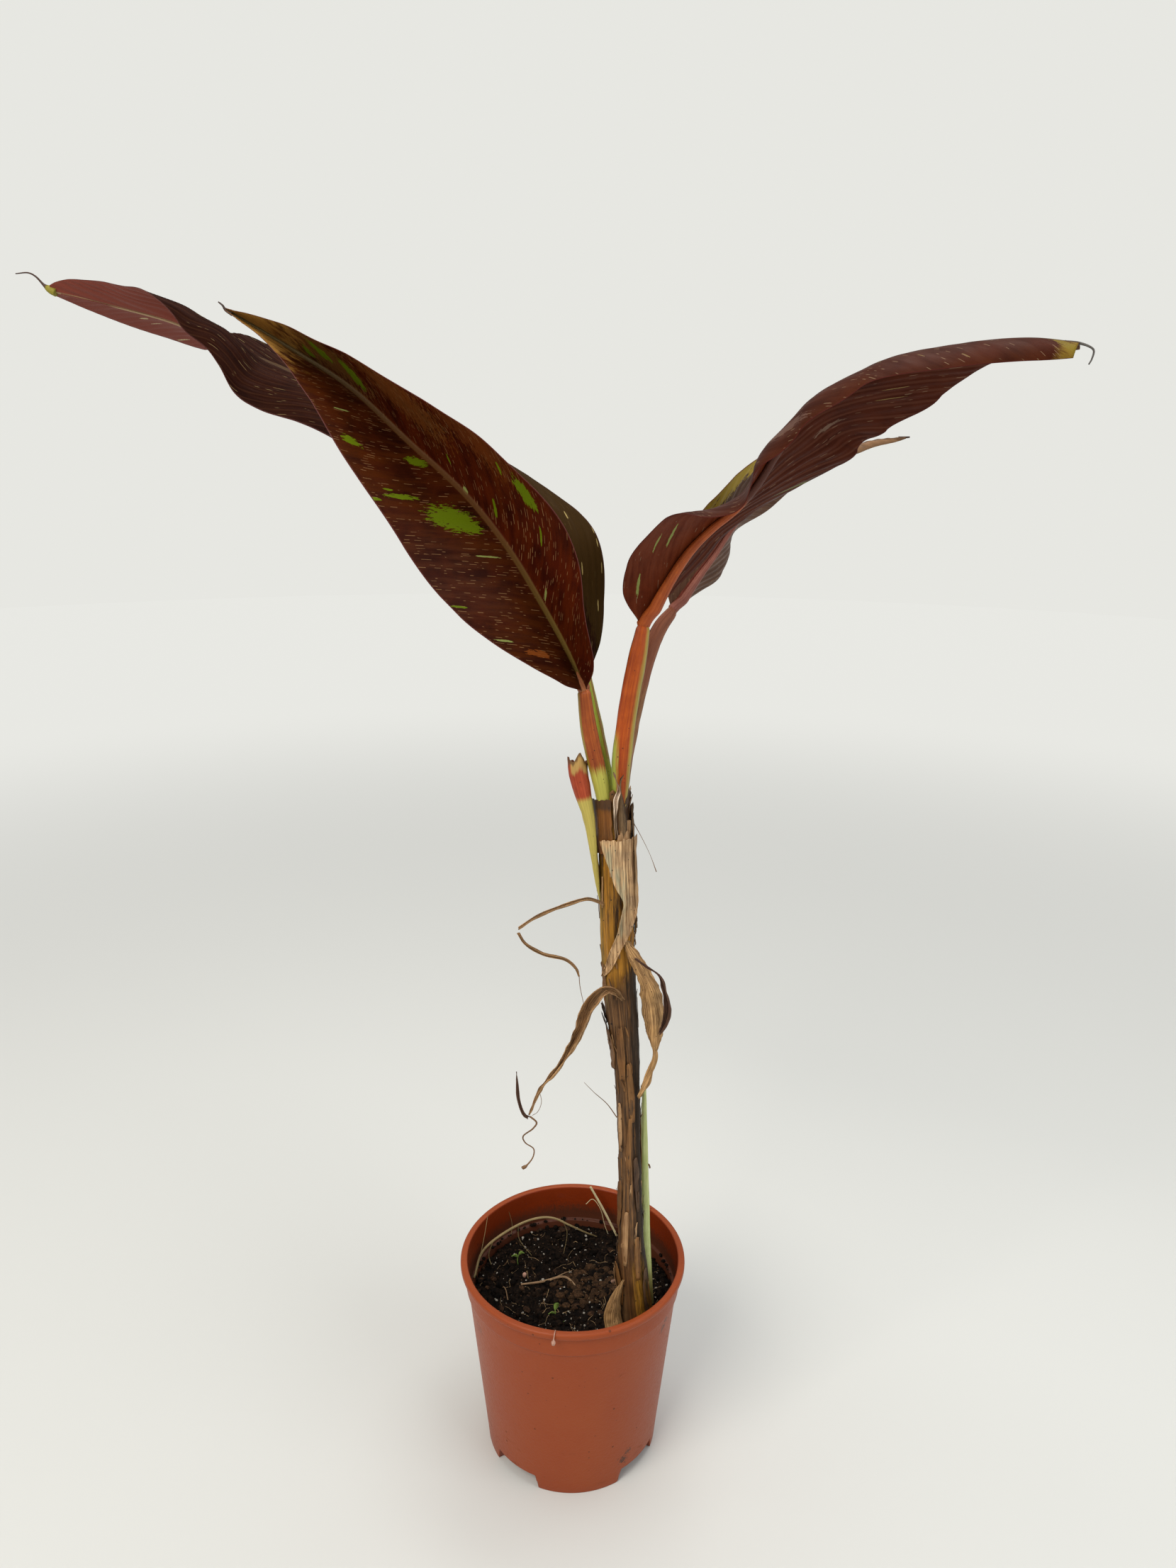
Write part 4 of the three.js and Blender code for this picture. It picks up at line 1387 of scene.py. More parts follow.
LEAF_RIGHT_FRONT = Leaf(
    name="leaf_right_front",
    form=BladeForm(
        rib=(
            (47.5, -16, 726.6), (50.9, -16.6, 736), (63.3, -22, 759.8), (76.7, -30, 781.5),
            (90.3, -38, 796.8), (104.4, -47, 809.5), (116.3, -57, 824.9), (126.6, -67, 843.7),
            (135.6, -77, 859.5), (146.7, -86, 873.6), (158.9, -95, 883.2), (178.4, -107, 892.7),
            (194.7, -119, 899.1), (212.8, -131, 902.9), (232.2, -143, 905.5), (251.4, -155, 905.8),
            (271.7, -166, 902.9)),
        roll=((0, -25), (0.15, -20), (0.3, -10), (0.45, -28), (0.7, -28), (1, -28)),
        left=Half(
            width=(
                (0, 4), (0.05, 22), (0.15, 44), (0.3, 57), (0.42, 57), (0.5, 58), (0.6, 57), (0.7, 52),
                (0.85, 34), (0.95, 20), (1, 8)),
            lift=(
                (0, 24), (0.15, 26), (0.28, 19), (0.4, 25), (0.5, 17), (0.62, 6), (0.75, 12), (0.87, 24),
                (1, 19)),
            curl=((0, -10), (1, -20))),
        right=Half(
            width=(
                (0, 4), (0.05, 28), (0.15, 46), (0.3, 56), (0.5, 54), (0.7, 44), (0.85, 32), (0.95, 22),
                (1, 14)),
            lift=((0, 30), (0.15, 4), (0.28, 2), (0.4, -40), (0.5, -33), (0.7, -19), (0.85, -27), (1, -38)),
            curl=((0, -10), (0.35, -20), (0.5, -50), (1, -60)))),
    plan=VeinPlan((2.3, 0.0), (1.6, 0.0)),
    upper=BladeFinish(
        dark=(0.03, 0.006, 0.002), mid=(0.052, 0.0105, 0.0035), streak=(0.07, 0.019, 0.007), streak_share=0.4,
        margin=(0.07, 0.014, 0.01), tip=(0.17, 0.105, 0.015), tip_from=343, tip_soft=8,
        dash=(0.22, 0.14, 0.08), dash_amount=0.14, gloss=0.03, relief=0.00012),
    under=BladeFinish(
        dark=(0.036, 0.0056, 0.002), mid=(0.06, 0.0108, 0.0036), streak=(0.08, 0.018, 0.007),
        crest=(0.12, 0.042, 0.025), pitch=9.5, crest_share=0.5, crest_right=0.15, right_tint=(1.75, 1.7, 1.5),
        rib=((0.35, 0.1, 0.03), (0.12, 0.03, 0.015), (0.1, 0.04, 0.02)), rib_half=1.2,
        margin=(0.07, 0.014, 0.01), tip=(0.1, 0.05, 0.02), tip_from=345, gloss=0.04, dash_amount=0.12,
        dash_reach=10, dash=(0.25, 0.16, 0.1)),
    rib_finish=FibreFinish(
        dark=(0.26, 0.036, 0.006), mid=(0.37, 0.062, 0.008), light=(0.42, 0.14, 0.022), light_share=0.35,
        zones=(Zone(0, 180, 120, 380, (0.09, 0.025, 0.014)), Zone(0, 180, 330, 400, (0.14, 0.1, 0.03))),
        speck_amount=0.05),
    filament=Limb(
        (
            (265, -162, 903.6), (271.4, -165, 903), (276.5, -168, 901), (278.2, -170, 899),
            (276.9, -172, 894.3), (275.3, -173, 891.7)),
        ((0, 1.1), (0.4, 0.7), (1, 0.4))),
    filament_finish=FibreFinish(
        dark=(0.05, 0.045, 0.04), mid=(0.11, 0.1, 0.09), light=(0.18, 0.16, 0.14), speck_amount=0),
    patches=(
        Patch(71, 27, 1.1, 11, LIME_PALE, 0.7), Patch(62, 33, 0.8, 8, LIME_PALE, 0.8),
        Patch(26, 20, 1.3, 9, LIME_PALE, 0.7), Patch(111, -47, 1.3, 30, (0.16, 0.17, 0.06), 0.5),
        Patch(181, -24, 2.5, 9, (0.2, 0.13, 0.09), 1.4, 0.6), Patch(229, -31, 0.3, 9, STRAW, 0.5, 0.6),
        Patch(236, -24, 0.3, 8, STRAW, 0.5, 0.6), Patch(246, 22, 0.2, 3, STRAW, 0.5, 0.6),
        Patch(270, 24, 0.2, 3, STRAW, 0.5, 0.6), Patch(294, 25, 0.2, 3, STRAW, 0.5, 0.6),
        Patch(176, 30, 5, 26, (0.13, 0.07, 0.05), 1.0, 0.6),
        Patch(346, 8, 2.6, 14, (0.17, 0.12, 0.015), 1.2, 0.8)),
    rib_radius=((0, 6.0), (0.06, 5.0), (0.1, 4.2), (0.3, 3.0), (0.7, 1.6), (1, 0.5)), ridge=0.8, pitch=9.5,
    ruffle=0.3, right_ridge=((0, 0.12), (0.3, 0.12), (0.42, 0.08), (1, 0.08)), seed=7)

LEAF_RIGHT_BACK = Leaf(
    name="leaf_right_back",
    form=BladeForm(
        rib=(
            (70.9, 19.6, 732.8), (87.9, 25, 756.4), (99, 28, 771.2), (109.7, 32, 787.3), (122.3, 38, 802.8),
            (140.8, 46, 818.9), (165.3, 56, 833.1), (192.9, 66, 844.5), (221.2, 76, 852.9),
            (248.3, 84, 855.8)),
        roll=((0, -60), (0.5, -45), (1, -20)),
        left=Half(
            width=(
                (0, 3), (0.06, 20), (0.2, 35), (0.35, 34), (0.5, 20), (0.7, 8), (0.85, 5.5), (0.95, 4),
                (1, 1.5)),
            lift=((0, 26), (0.15, 13), (0.25, 10), (0.35, 15), (0.5, -14), (0.7, -24), (0.85, -30), (1, 0))),
        right=Half(
            width=((0, 3), (0.06, 20), (0.2, 36), (0.4, 44), (0.6, 34), (0.8, 12), (0.95, 5), (1, 1.5)),
            lift=((0, 34), (0.12, 20), (0.28, 8), (0.5, 4), (0.7, 6), (1, -6)),
            curl=((0, 0), (0.5, 0), (0.72, -70), (0.85, -150), (1, -150)))),
    plan=VeinPlan((1.1, 0.1), (1.2, 0.1)),
    upper=BladeFinish(
        dark=(0.04, 0.024, 0.016), mid=(0.06, 0.038, 0.026), streak=(0.09, 0.06, 0.042),
        crest=(0.17, 0.13, 0.1), crest_share=0.5, margin=(0.2, 0.12, 0.03), tip=(0.2, 0.105, 0.05),
        tip_from=190, tip_soft=20, dash_amount=0.1, gloss=0.12),
    under=BladeFinish(
        dark=(0.06, 0.026, 0.014), mid=(0.09, 0.038, 0.02), streak=(0.12, 0.055, 0.03),
        crest=(0.14, 0.08, 0.05), crest_share=0.3,
        rib=((0.25, 0.06, 0.04), (0.15, 0.07, 0.04), (0.2, 0.1, 0.05)), sheen=0.03, gloss=0.12,
        margin=(0.16, 0.07, 0.04), tip=(0.2, 0.11, 0.05), tip_from=190, tip_soft=20, dash_amount=0.2,
        dash_reach=5),
    rib_finish=FibreFinish(
        dark=(0.17, 0.04, 0.03), mid=(0.25, 0.07, 0.05), light=(0.3, 0.13, 0.08), speck_amount=0.05),
    filament=Limb(((243, 82.4, 855.3), (249.6, 85, 855.8), (252, 85.6, 856)), ((0, 1.1), (1, 0.6))),
    filament_finish=DARK_THREAD,
    patches=(
        Patch(71, 42, 6, 20, OLIVE, 0.9, 0.95), Patch(84, 41, 6, 18, OLIVE, 0.9, 0.95),
        Patch(97, 43, 6, 18, OLIVE, 0.9, 0.95), Patch(112, 43, 6, 16, OLIVE, 0.9, 0.95)),
    rib_radius=((0, 4.6), (0.08, 3.4), (0.2, 2.4), (0.6, 1.3), (1, 0.5)), ridge=0.35, rows=200, seed=9)


# Trunk, stalks and sheaths

TRUNK_LINE = (
    (54.1, -38, 150.3), (50.3, -38, 190), (47.7, -38, 231.6), (46.3, -38, 272.2), (44.2, -37, 324),
    (42.2, -36, 368), (38.8, -34, 409.1), (34.8, -31, 451.1), (31.8, -28, 502.7), (30.1, -24, 546.9),
    (28.1, -21, 579.5), (26.7, -18, 600.6))
TRUNK_RADIUS = (
    (0, 14.6), (0.05, 13), (0.12, 11.8), (0.25, 9.5), (0.35, 8.8), (0.5, 10), (0.62, 12.2), (0.8, 13.2),
    (1, 11.8))

# Height in mm by which the flakes are coloured, near the trunk's length.
TRUNK_HEIGHT = 450


def trunk_frame(shares: Array) -> tuple[Array, Array, Array, Array]:
    """Centre, direction to the right, direction to the back and radius of the trunk.

    Args:
        shares: Shares of its length.

    Returns:
        The four arrays, one row for each share.
    """
    line = Line(TRUNK_LINE)
    along = line.along(shares)
    across = unit(np.cross(np.array([0.0, 1.0, 0.0]), along))
    return line.at(shares), across, np.cross(along, across), value_at(TRUNK_RADIUS, shares)


@dataclass(frozen=True)
class SheathStep:
    """The edge of an older leaf sheath on the trunk: its turn along the trunk, its height and its fade."""

    turn: Stations
    height: float
    reach: float = 70.0


@dataclass(frozen=True)
class Trunk:
    """The trunk of rolled leaf sheaths."""

    steps: tuple[SheathStep, ...] = (
        SheathStep(((0, 48), (0.3, 40), (0.5, 52), (0.75, 30), (1, 20)), 1.5),
        SheathStep(((0, -70), (0.35, -45), (0.6, -60), (0.85, -30), (1, -40)), 1.2),
        SheathStep(((0, 2), (0.3, -12), (0.55, 8), (1, -4)), 0.9, 40),
        SheathStep(((0, 150), (0.4, 130), (0.7, 160), (1, 140)), 1.4),
        SheathStep(((0, -150), (0.5, -120), (1, -135)), 1.2, 60))
    foot: float = 149.0
    rows: int = 390
    columns: int = 108

    def shell(self) -> Shell:
        """The trunk with its sheath edges, fibres and wrinkles.

        Returns:
            The closed shell, with the mark "skin".
        """
        shares = np.linspace(-0.01, 1.0, self.rows)
        centre, across, back, radius = trunk_frame(shares)
        turn = np.linspace(-np.pi, np.pi, self.columns, endpoint=False)
        sine, cosine = np.sin(turn)[None, :], np.cos(turn)[None, :]
        height = (shares * Line(TRUNK_LINE).length)[:, None]
        place = places(sine * 12, cosine * 12, height)
        relief = ripple(place * (1, 1, 0.05), 1.6, 11, 2) * 0.5 + ripple(place * (1, 1, 0.02), 4.5, 12) * 0.75
        relief = relief + ripple(place, 16, 13, 2) * 0.7 + ripple(place * (0.4, 0.4, 1), 3.0, 14) * 0.12
        for number, step in enumerate(self.steps):
            edge = value_at(step.turn, shares)[:, None] + ripple(place * (0.1, 0.1, 1), 14, 15 + number) * 5
            past = (np.degrees(turn)[None, :] - edge + 180) % 360 - 180
            fall = 1 - smooth(past, 4, step.reach)
            relief = relief + step.height * (smooth(past, -1.5, 1.5) * fall - 0.15)
        size = radius[:, None] + relief
        grid = centre[:, None] + across[:, None] * (sine * size)[..., None]
        grid = grid - back[:, None] * (cosine * size)[..., None]
        grid[0, :, 2] = min(grid[0, :, 2].min(), self.foot)
        grid[-1, :, 2] = centre[-1, 2]
        return closed_tube(grid, {"skin": places(sine, cosine, height)})

    def build(self) -> Pieces:
        """Builds and dresses the trunk.

        Returns:
            Its one piece.
        """
        finish = FibreFinish(
            dark=(0.055, 0.021, 0.006), mid=(0.14, 0.053, 0.013), light=(0.33, 0.17, 0.055), light_share=0.5,
            girth=12, fibre=(0.7, 60), speck_amount=0.35, speck_size=5, roughness=0.55, relief=0.0007,
            contrast=0.9,
            zones=(
                Zone(0, 180, 90, 290, (0.12, 0.058, 0.024), 0.45, 0.6, 40),
                Zone(-30, 105, 318, 462, (0.38, 0.165, 0.012), 0.85, 0.2, 20),
                Zone(-75, 22, 300, 420, (0.2, 0.17, 0.03), 0.5, 0.3, 20),
                Zone(3, 15, 345, 386, (0.014, 0.007, 0.004), 0.95, 0.35, 8),
                Zone(-60, 8, 330, 440, (0.07, 0.03, 0.01), 0.7, 0.4, 12),
                Zone(80, 50, 0, 320, (0.018, 0.011, 0.006), 0.92, 0.45, 25),
                Zone(20, 20, 70, 310, (0.03, 0.017, 0.009), 0.65, 0.7, 20),
                Zone(-35, 13, 120, 250, (0.035, 0.02, 0.01), 0.6, 0.7, 20),
                Zone(-100, 45, 90, 260, (0.05, 0.028, 0.015), 0.6, 0.6, 20),
                Zone(22, 26, 0, 58, (0.34, 0.16, 0.01), 0.9, 0.45, 12),
                Zone(-45, 45, 0, 60, (0.1, 0.042, 0.014), 0.7, 0.6, 16),
                Zone(64, 12, 0, 34, (0.3, 0.13, 0.01), 0.8, 0.4, 10),
                Zone(44, 11, 0, 70, (0.012, 0.007, 0.003), 0.95, 0.4, 10),
                Zone(-8, 9, 0, 75, (0.06, 0.025, 0.008), 0.8, 0.6, 10),
                Zone(-70, 40, 0, 30, (0.08, 0.045, 0.02), 0.7, 0.6, 10)))
        return [make_piece("trunk_skin", self.shell(), [finish.build("trunk skin")], ("trunk",))]


@dataclass(frozen=True)
class Stalk:
    """A leaf stalk: round outside, channelled on the side of the leaf's upper face."""

    name: str
    limb: Limb
    finish: FibreFinish
    slot: Slot
    channel_turn: float
    channel: float = 0.3
    foot: float = -0.35
    top: float = 1.02
    rows: int = 150
    columns: int = 40

    def build(self) -> Pieces:
        """Builds and dresses the stalk.

        Returns:
            Its one piece.
        """
        grid, outward, skin = self.limb.rings(self.rows, self.columns, self.foot, self.top)
        shares = np.linspace(self.foot, self.top, self.rows)
        centre = Line(self.limb.line).at(shares)
        turn = np.degrees(np.arctan2(skin[..., 0], skin[..., 1]))
        away = np.abs((turn - self.channel_turn + 180) % 360 - 180)
        groove = self.channel * (1 - smooth(away, 18, 62)) * smooth(shares, 0.0, 0.5)[:, None]
        lips = 0.1 * np.exp(-(((away - 62) / 18) ** 2))
        size = np.linalg.norm(grid - centre[:, None], axis=-1, keepdims=True)
        relief = ripple(grid * (1, 1, 0.08), 1.5, 21, 2) * 0.16 + ripple(grid, 14, 22) * 0.3
        narrow = 1 - 0.3 * smooth(shares, 0.985, self.top)
        narrow = narrow * (1 - 0.75 * smooth(-shares, 0.04, -self.foot))
        narrow = narrow[:, None, None]
        grid = centre[:, None] + (grid - centre[:, None]) * (1 - groove + lips)[..., None] * narrow
        grid = grid + unit(outward) * relief[..., None] * (size > 0)
        shell, material = closed_tube(grid, {"skin": skin}), self.finish.build(self.name)
        return [make_piece(f"{self.name}_skin", shell, [material], (self.name,))]


STALKS = (
    Stalk(
        "stalk_left_front",
        Limb(
            ((20.6, -25, 601), (15.4, -27, 627.5), (9.4, -27, 656.5), (6.3, -25.1, 679.2)),
            ((0, 5.6), (0.5, 7.2), (1, 5.5))),
        FibreFinish(
            dark=(0.19, 0.028, 0.005), mid=(0.29, 0.052, 0.009), light=(0.36, 0.12, 0.022), light_share=0.4,
            speck_amount=0.1, roughness=0.42, relief=0.0002,
            zones=(
                Zone(-88, 38, 0, 200, (0.22, 0.2, 0.02), 0.7), Zone(90, 34, 0, 200, (0.06, 0.02, 0.008), 0.9),
                Zone(0, 180, -60, 17, (0.42, 0.4, 0.07), 0.95, 0.25, 10))),
        Slot.RED_STALK, 100),
    Stalk(
        "stalk_left_back",
        Limb(
            ((24.6, -9.6, 601), (19.6, -8, 633.1), (13, -3, 661.5), (7.6, 3.6, 685)),
            ((0, 4.8), (0.5, 4.6), (1, 4.2))),
        FibreFinish(
            dark=(0.3, 0.37, 0.03), mid=(0.42, 0.52, 0.05), light=(0.5, 0.6, 0.1), speck_amount=0.08,
            roughness=0.42, relief=0.0002, zones=(Zone(60, 40, 30, 200, (0.28, 0.07, 0.01), 0.8),)),
        Slot.RED_STALK, 80),
    Stalk(
        "stalk_right_front",
        Limb(
            (
                (32.6, -25, 601), (33.3, -25, 635.1), (36.4, -22, 666), (42.4, -18, 701.5),
                (46.6, -16.2, 724.4)),
            ((0, 5.6), (0.3, 8), (0.7, 8), (1, 6))),
        FibreFinish(
            dark=(0.26, 0.03, 0.003), mid=(0.37, 0.055, 0.005), light=(0.42, 0.12, 0.012), light_share=0.35,
            speck_amount=0.1, roughness=0.4, relief=0.0002,
            zones=(
                Zone(-74, 30, 20, 200, (0.17, 0.062, 0.045), 0.85),
                Zone(62, 17, -60, 200, (0.38, 0.38, 0.07), 0.9, 0.1),
                Zone(98, 22, -60, 200, (0.12, 0.05, 0.02), 0.8, 0.1),
                Zone(-62, 38, -60, 34, (0.3, 0.36, 0.06), 0.9, 0.3, 18))),
        Slot.RED_STALK, -100),
    Stalk(
        "stalk_right_back",
        Limb(
            (
                (34.9, -9.4, 601), (37, -6, 630.1), (42, -3, 661.8), (50.4, 4, 697.6), (60.2, 13, 720),
                (69.6, 19, 731.2)),
            ((0, 4.6), (0.3, 6.5), (0.6, 6.9), (0.8, 6.9), (0.92, 6.2), (1, 4.8))),
        FibreFinish(
            dark=(0.14, 0.05, 0.02), mid=(0.24, 0.095, 0.036), light=(0.34, 0.17, 0.065), speck_amount=0.12,
            roughness=0.5, relief=0.0003,
            zones=(
                Zone(-60, 50, -60, 30, (0.24, 0.2, 0.05), 0.6),
                Zone(0, 180, 85, 200, (0.2, 0.05, 0.024), 0.7),
                Zone(-68, 20, 20, 200, (0.09, 0.03, 0.012), 0.8))),
        Slot.BROWN_STALK, -100))


@dataclass(frozen=True)
class Wrap:
    """A dry sheath wrapped round part of the trunk, its upper end torn."""

    name: str
    edges: Points
    lift: Stations
    finish: FibreFinish
    thickness: float = 0.5
    torn: float = 6.0
    flare: float = 1.5
    rows: int = 90
    columns: int = 46
    seed: int = 31

    def shell(self) -> Shell:
        """The sheath as a closed thin sheet.

        Returns:
            The shell, with the mark "skin".
        """
        u = np.linspace(0, 1, self.columns)
        low, high = self.edges[0][0], self.edges[-1][0]
        length = Line(TRUNK_LINE).length
        shares = np.linspace(low, high, self.rows)
        left = value_at(tuple((e[0], e[1]) for e in self.edges), shares)[:, None]
        right = value_at(tuple((e[0], e[2]) for e in self.edges), shares)[:, None]
        tear = ripple(places(u * 30, 0, self.seed), 2.2, self.seed, 3) * self.torn / length
        rise = np.linspace(0, 1, self.rows)[:, None]
        place = shares[:, None] + tear[None, :] * smooth(rise, 0.45, 1.0)
        place = place - tear[None, ::-1] * (1 - smooth(rise, 0, 0.4))
        turn = left + (right - left) * u[None, :]
        turn = turn + ripple(places(rise * 9, u[None, :] * 0, 5), 1, self.seed) * 3
        shape = (self.rows, self.columns, -1)
        centre, across, back, radius = (a.reshape(shape) for a in trunk_frame(place.ravel()))
        edge = np.abs(2 * u - 1)[None, :]
        out = value_at(self.lift, rise.ravel())[:, None] + self.flare * smooth(edge, 0.6, 1.0)
        angle = np.radians(turn)[..., None]
        base = centre + across * np.sin(angle) * radius - back * np.cos(angle) * radius
        out = out + ripple(base * (1, 1, 0.15), 2.0, self.seed + 1) * 0.3
        out = out + ripple(base, 7, self.seed + 2) * 0.4
        grid = base + (across * np.sin(angle) - back * np.cos(angle)) * (out[..., None] + 0.9)
        skin = np.concatenate([np.sin(angle), np.cos(angle), place[..., None] * length], -1)
        return thin_sheet(grid, self.thickness / 2, self.thickness / 2, {"skin": skin})

    def build(self) -> Pieces:
        """Builds and dresses the sheath, one piece."""
        material = self.finish.build(self.name)
        return [make_piece(f"{self.name}_sheet", self.shell(), [material], (self.name,))]


# Its pale fibres are partly pale dry fibre and partly painted highlight along the sheath's ribs.
BEIGE = FibreFinish(
    dark=(0.17, 0.075, 0.026), mid=(0.45, 0.24, 0.095), light=(0.74, 0.54, 0.31), light_share=0.5, girth=14,
    fibre=(0.7, 30), speck_amount=0.35, roughness=0.7, relief=0.0008, contrast=1.0,
    zones=(
        Zone(-24, 13, 376, 414, (0.25, 0.24, 0.15), 0.75, 0.4, 8),
        Zone(4, 12, 352, 396, (0.25, 0.24, 0.15), 0.75, 0.4, 8),
        Zone(70, 10, 330, 440, (0.2, 0.09, 0.035), 0.7, 0.4)))
WRAPS = (
    Wrap(
        "sheath_brown", ((0.905, -104, -6), (0.955, -100, -4), (0.995, -98, -4)),
        ((0, 0.2), (0.6, 0.8), (1, 1.8)),
        FibreFinish(
            dark=(0.08, 0.028, 0.005), mid=(0.15, 0.048, 0.006), light=(0.22, 0.09, 0.02), girth=14,
            roughness=0.5, speck_amount=0.3, contrast=0.35,
            zones=(
                Zone(-95, 28, 400, 460, (0.04, 0.018, 0.008), 0.8, 0.5),
                Zone(0, 180, 444, 470, (0.05, 0.025, 0.012), 0.8, 0.3, 3))),
        torn=1.2, flare=0.8, seed=31),
    Wrap(
        "sheath_beige",
        (
            (0.694, -58, -48), (0.709, -46, -22), (0.732, -29, 0), (0.752, -13, 20), (0.78, 2, 44),
            (0.804, 14, 68), (0.818, 16, 76), (0.847, 3, 84), (0.875, -14, 86), (0.93, -40, 88)),
        ((0, 0.3), (0.3, 1.0), (0.5, 1.6), (0.8, 1.2), (1, 2.4)), BEIGE, torn=2.0, flare=1.2, rows=140,
        seed=37),
    Wrap(
        "sheath_dark", ((0.77, 66, 104), (0.84, 60, 124), (0.92, 62, 134), (0.975, 58, 112)),
        ((0, 0.3), (0.5, 1.0), (1, 2.4)),
        FibreFinish(
            dark=(0.03, 0.016, 0.008), mid=(0.09, 0.045, 0.018), light=(0.26, 0.15, 0.06), girth=14,
            roughness=0.7, relief=0.0008, contrast=0.8),
        torn=8, flare=1.4, seed=43))


@dataclass(frozen=True)
class Shred:
    """A torn flake on the trunk: share of its length, turn, and length, width, lift and lean in mm."""

    share: float
    turn: float
    length: float
    width: float
    lift: float
    lean: float = 0.0
    tone: Tone = Tone.DARK


@dataclass(frozen=True)
class Shreds:
    """Torn flakes and loose fibres of old sheaths all over the trunk, with a finish for each tone."""

    placed: tuple[Shred, ...]
    loose: int = 90
    seed: int = 93
    finishes: tuple[FibreFinish, ...] = (
        FibreFinish(
            dark=(0.02, 0.01, 0.006), mid=(0.06, 0.028, 0.014), light=(0.16, 0.09, 0.045), relief=0.0006),
        FibreFinish(
            dark=(0.07, 0.027, 0.007), mid=(0.16, 0.064, 0.016), light=(0.28, 0.14, 0.045), relief=0.0006),
        FibreFinish(dark=(0.18, 0.08, 0.03), mid=(0.34, 0.18, 0.075), light=(0.5, 0.32, 0.16), relief=0.0005))

    def scattered(self) -> list[Shred]:
        """Small loose flakes at places of their own.

        Returns:
            The flakes.
        """
        random = np.random.default_rng(self.seed)
        found = []
        for _ in range(self.loose):
            share, turn = random.uniform(0.03, 0.9), random.uniform(-180, 180)
            length, width = random.uniform(5, 26), random.uniform(0.4, 1.8)
            lift, lean = random.uniform(0.2, 1.6), random.uniform(-2.5, 2.5)
            found.append(Shred(share, turn, length, width, lift, lean, list(Tone)[random.integers(0, 3)]))
        return found

    def flake(self, shred: Shred, seed: int) -> Shell:
        """One flake as a closed thin sheet.

        Args:
            shred: Its place and sizes.
            seed: Which crumple.

        Returns:
            The shell, with the mark "skin".
        """
        rows, columns = 14, 5
        run = np.linspace(0, 1, rows)
        centre, across, back, radius = trunk_frame(shred.share + run * shred.length / Line(TRUNK_LINE).length)
        spread = np.linspace(-1, 1, columns)[None, :]
        half = shred.width / 2 * (0.35 + 0.65 * np.sin(np.pi * np.clip(run * 0.8 + 0.12, 0, 1)))[:, None]
        sway = shred.lean * run[:, None] ** 1.5
        radius = radius.reshape(rows, 1)
        angle = math.radians(shred.turn) + (spread * half + sway) / radius
        out = radius + 0.25 + shred.lift * run[:, None] ** 2 + 0.25 * shred.width * (spread**2) * 0.3
        place = places(spread * half, run[:, None] * shred.length, spread * 0 + seed)
        out = out + ripple(place, 4.0, seed, 2) * min(0.8, 0.25 * shred.width + 0.1)
        way = across[:, None] * np.sin(angle)[..., None] - back[:, None] * np.cos(angle)[..., None]
        grid = centre[:, None] + way * out[..., None]
        tear = ripple(place * (1, 0, 1), 1.2, seed + 1) * min(2.5, shred.width * 0.5)
        grid[..., 2] += tear * smooth(run, 0.6, 1.0)[:, None]
        height = shred.share * TRUNK_HEIGHT + run * shred.length
        skin = places(np.sin(angle), np.cos(angle), height[:, None])
        return thin_sheet(grid, 0.14, 0.14, {"skin": skin})

    def build(self) -> Pieces:
        """Builds and dresses the flakes.

        Returns:
            One piece for each tone.
        """
        every = [*self.placed, *self.scattered()]
        pieces = []
        for tone, finish in zip(Tone, self.finishes):
            shells = [self.flake(shred, 100 + i) for i, shred in enumerate(every) if shred.tone == tone]
            name, material = f"trunk_flakes_{tone.value}", finish.build(f"{tone.value} flakes")
            pieces.append(make_piece(name, merged(shells), [material]))
        return pieces


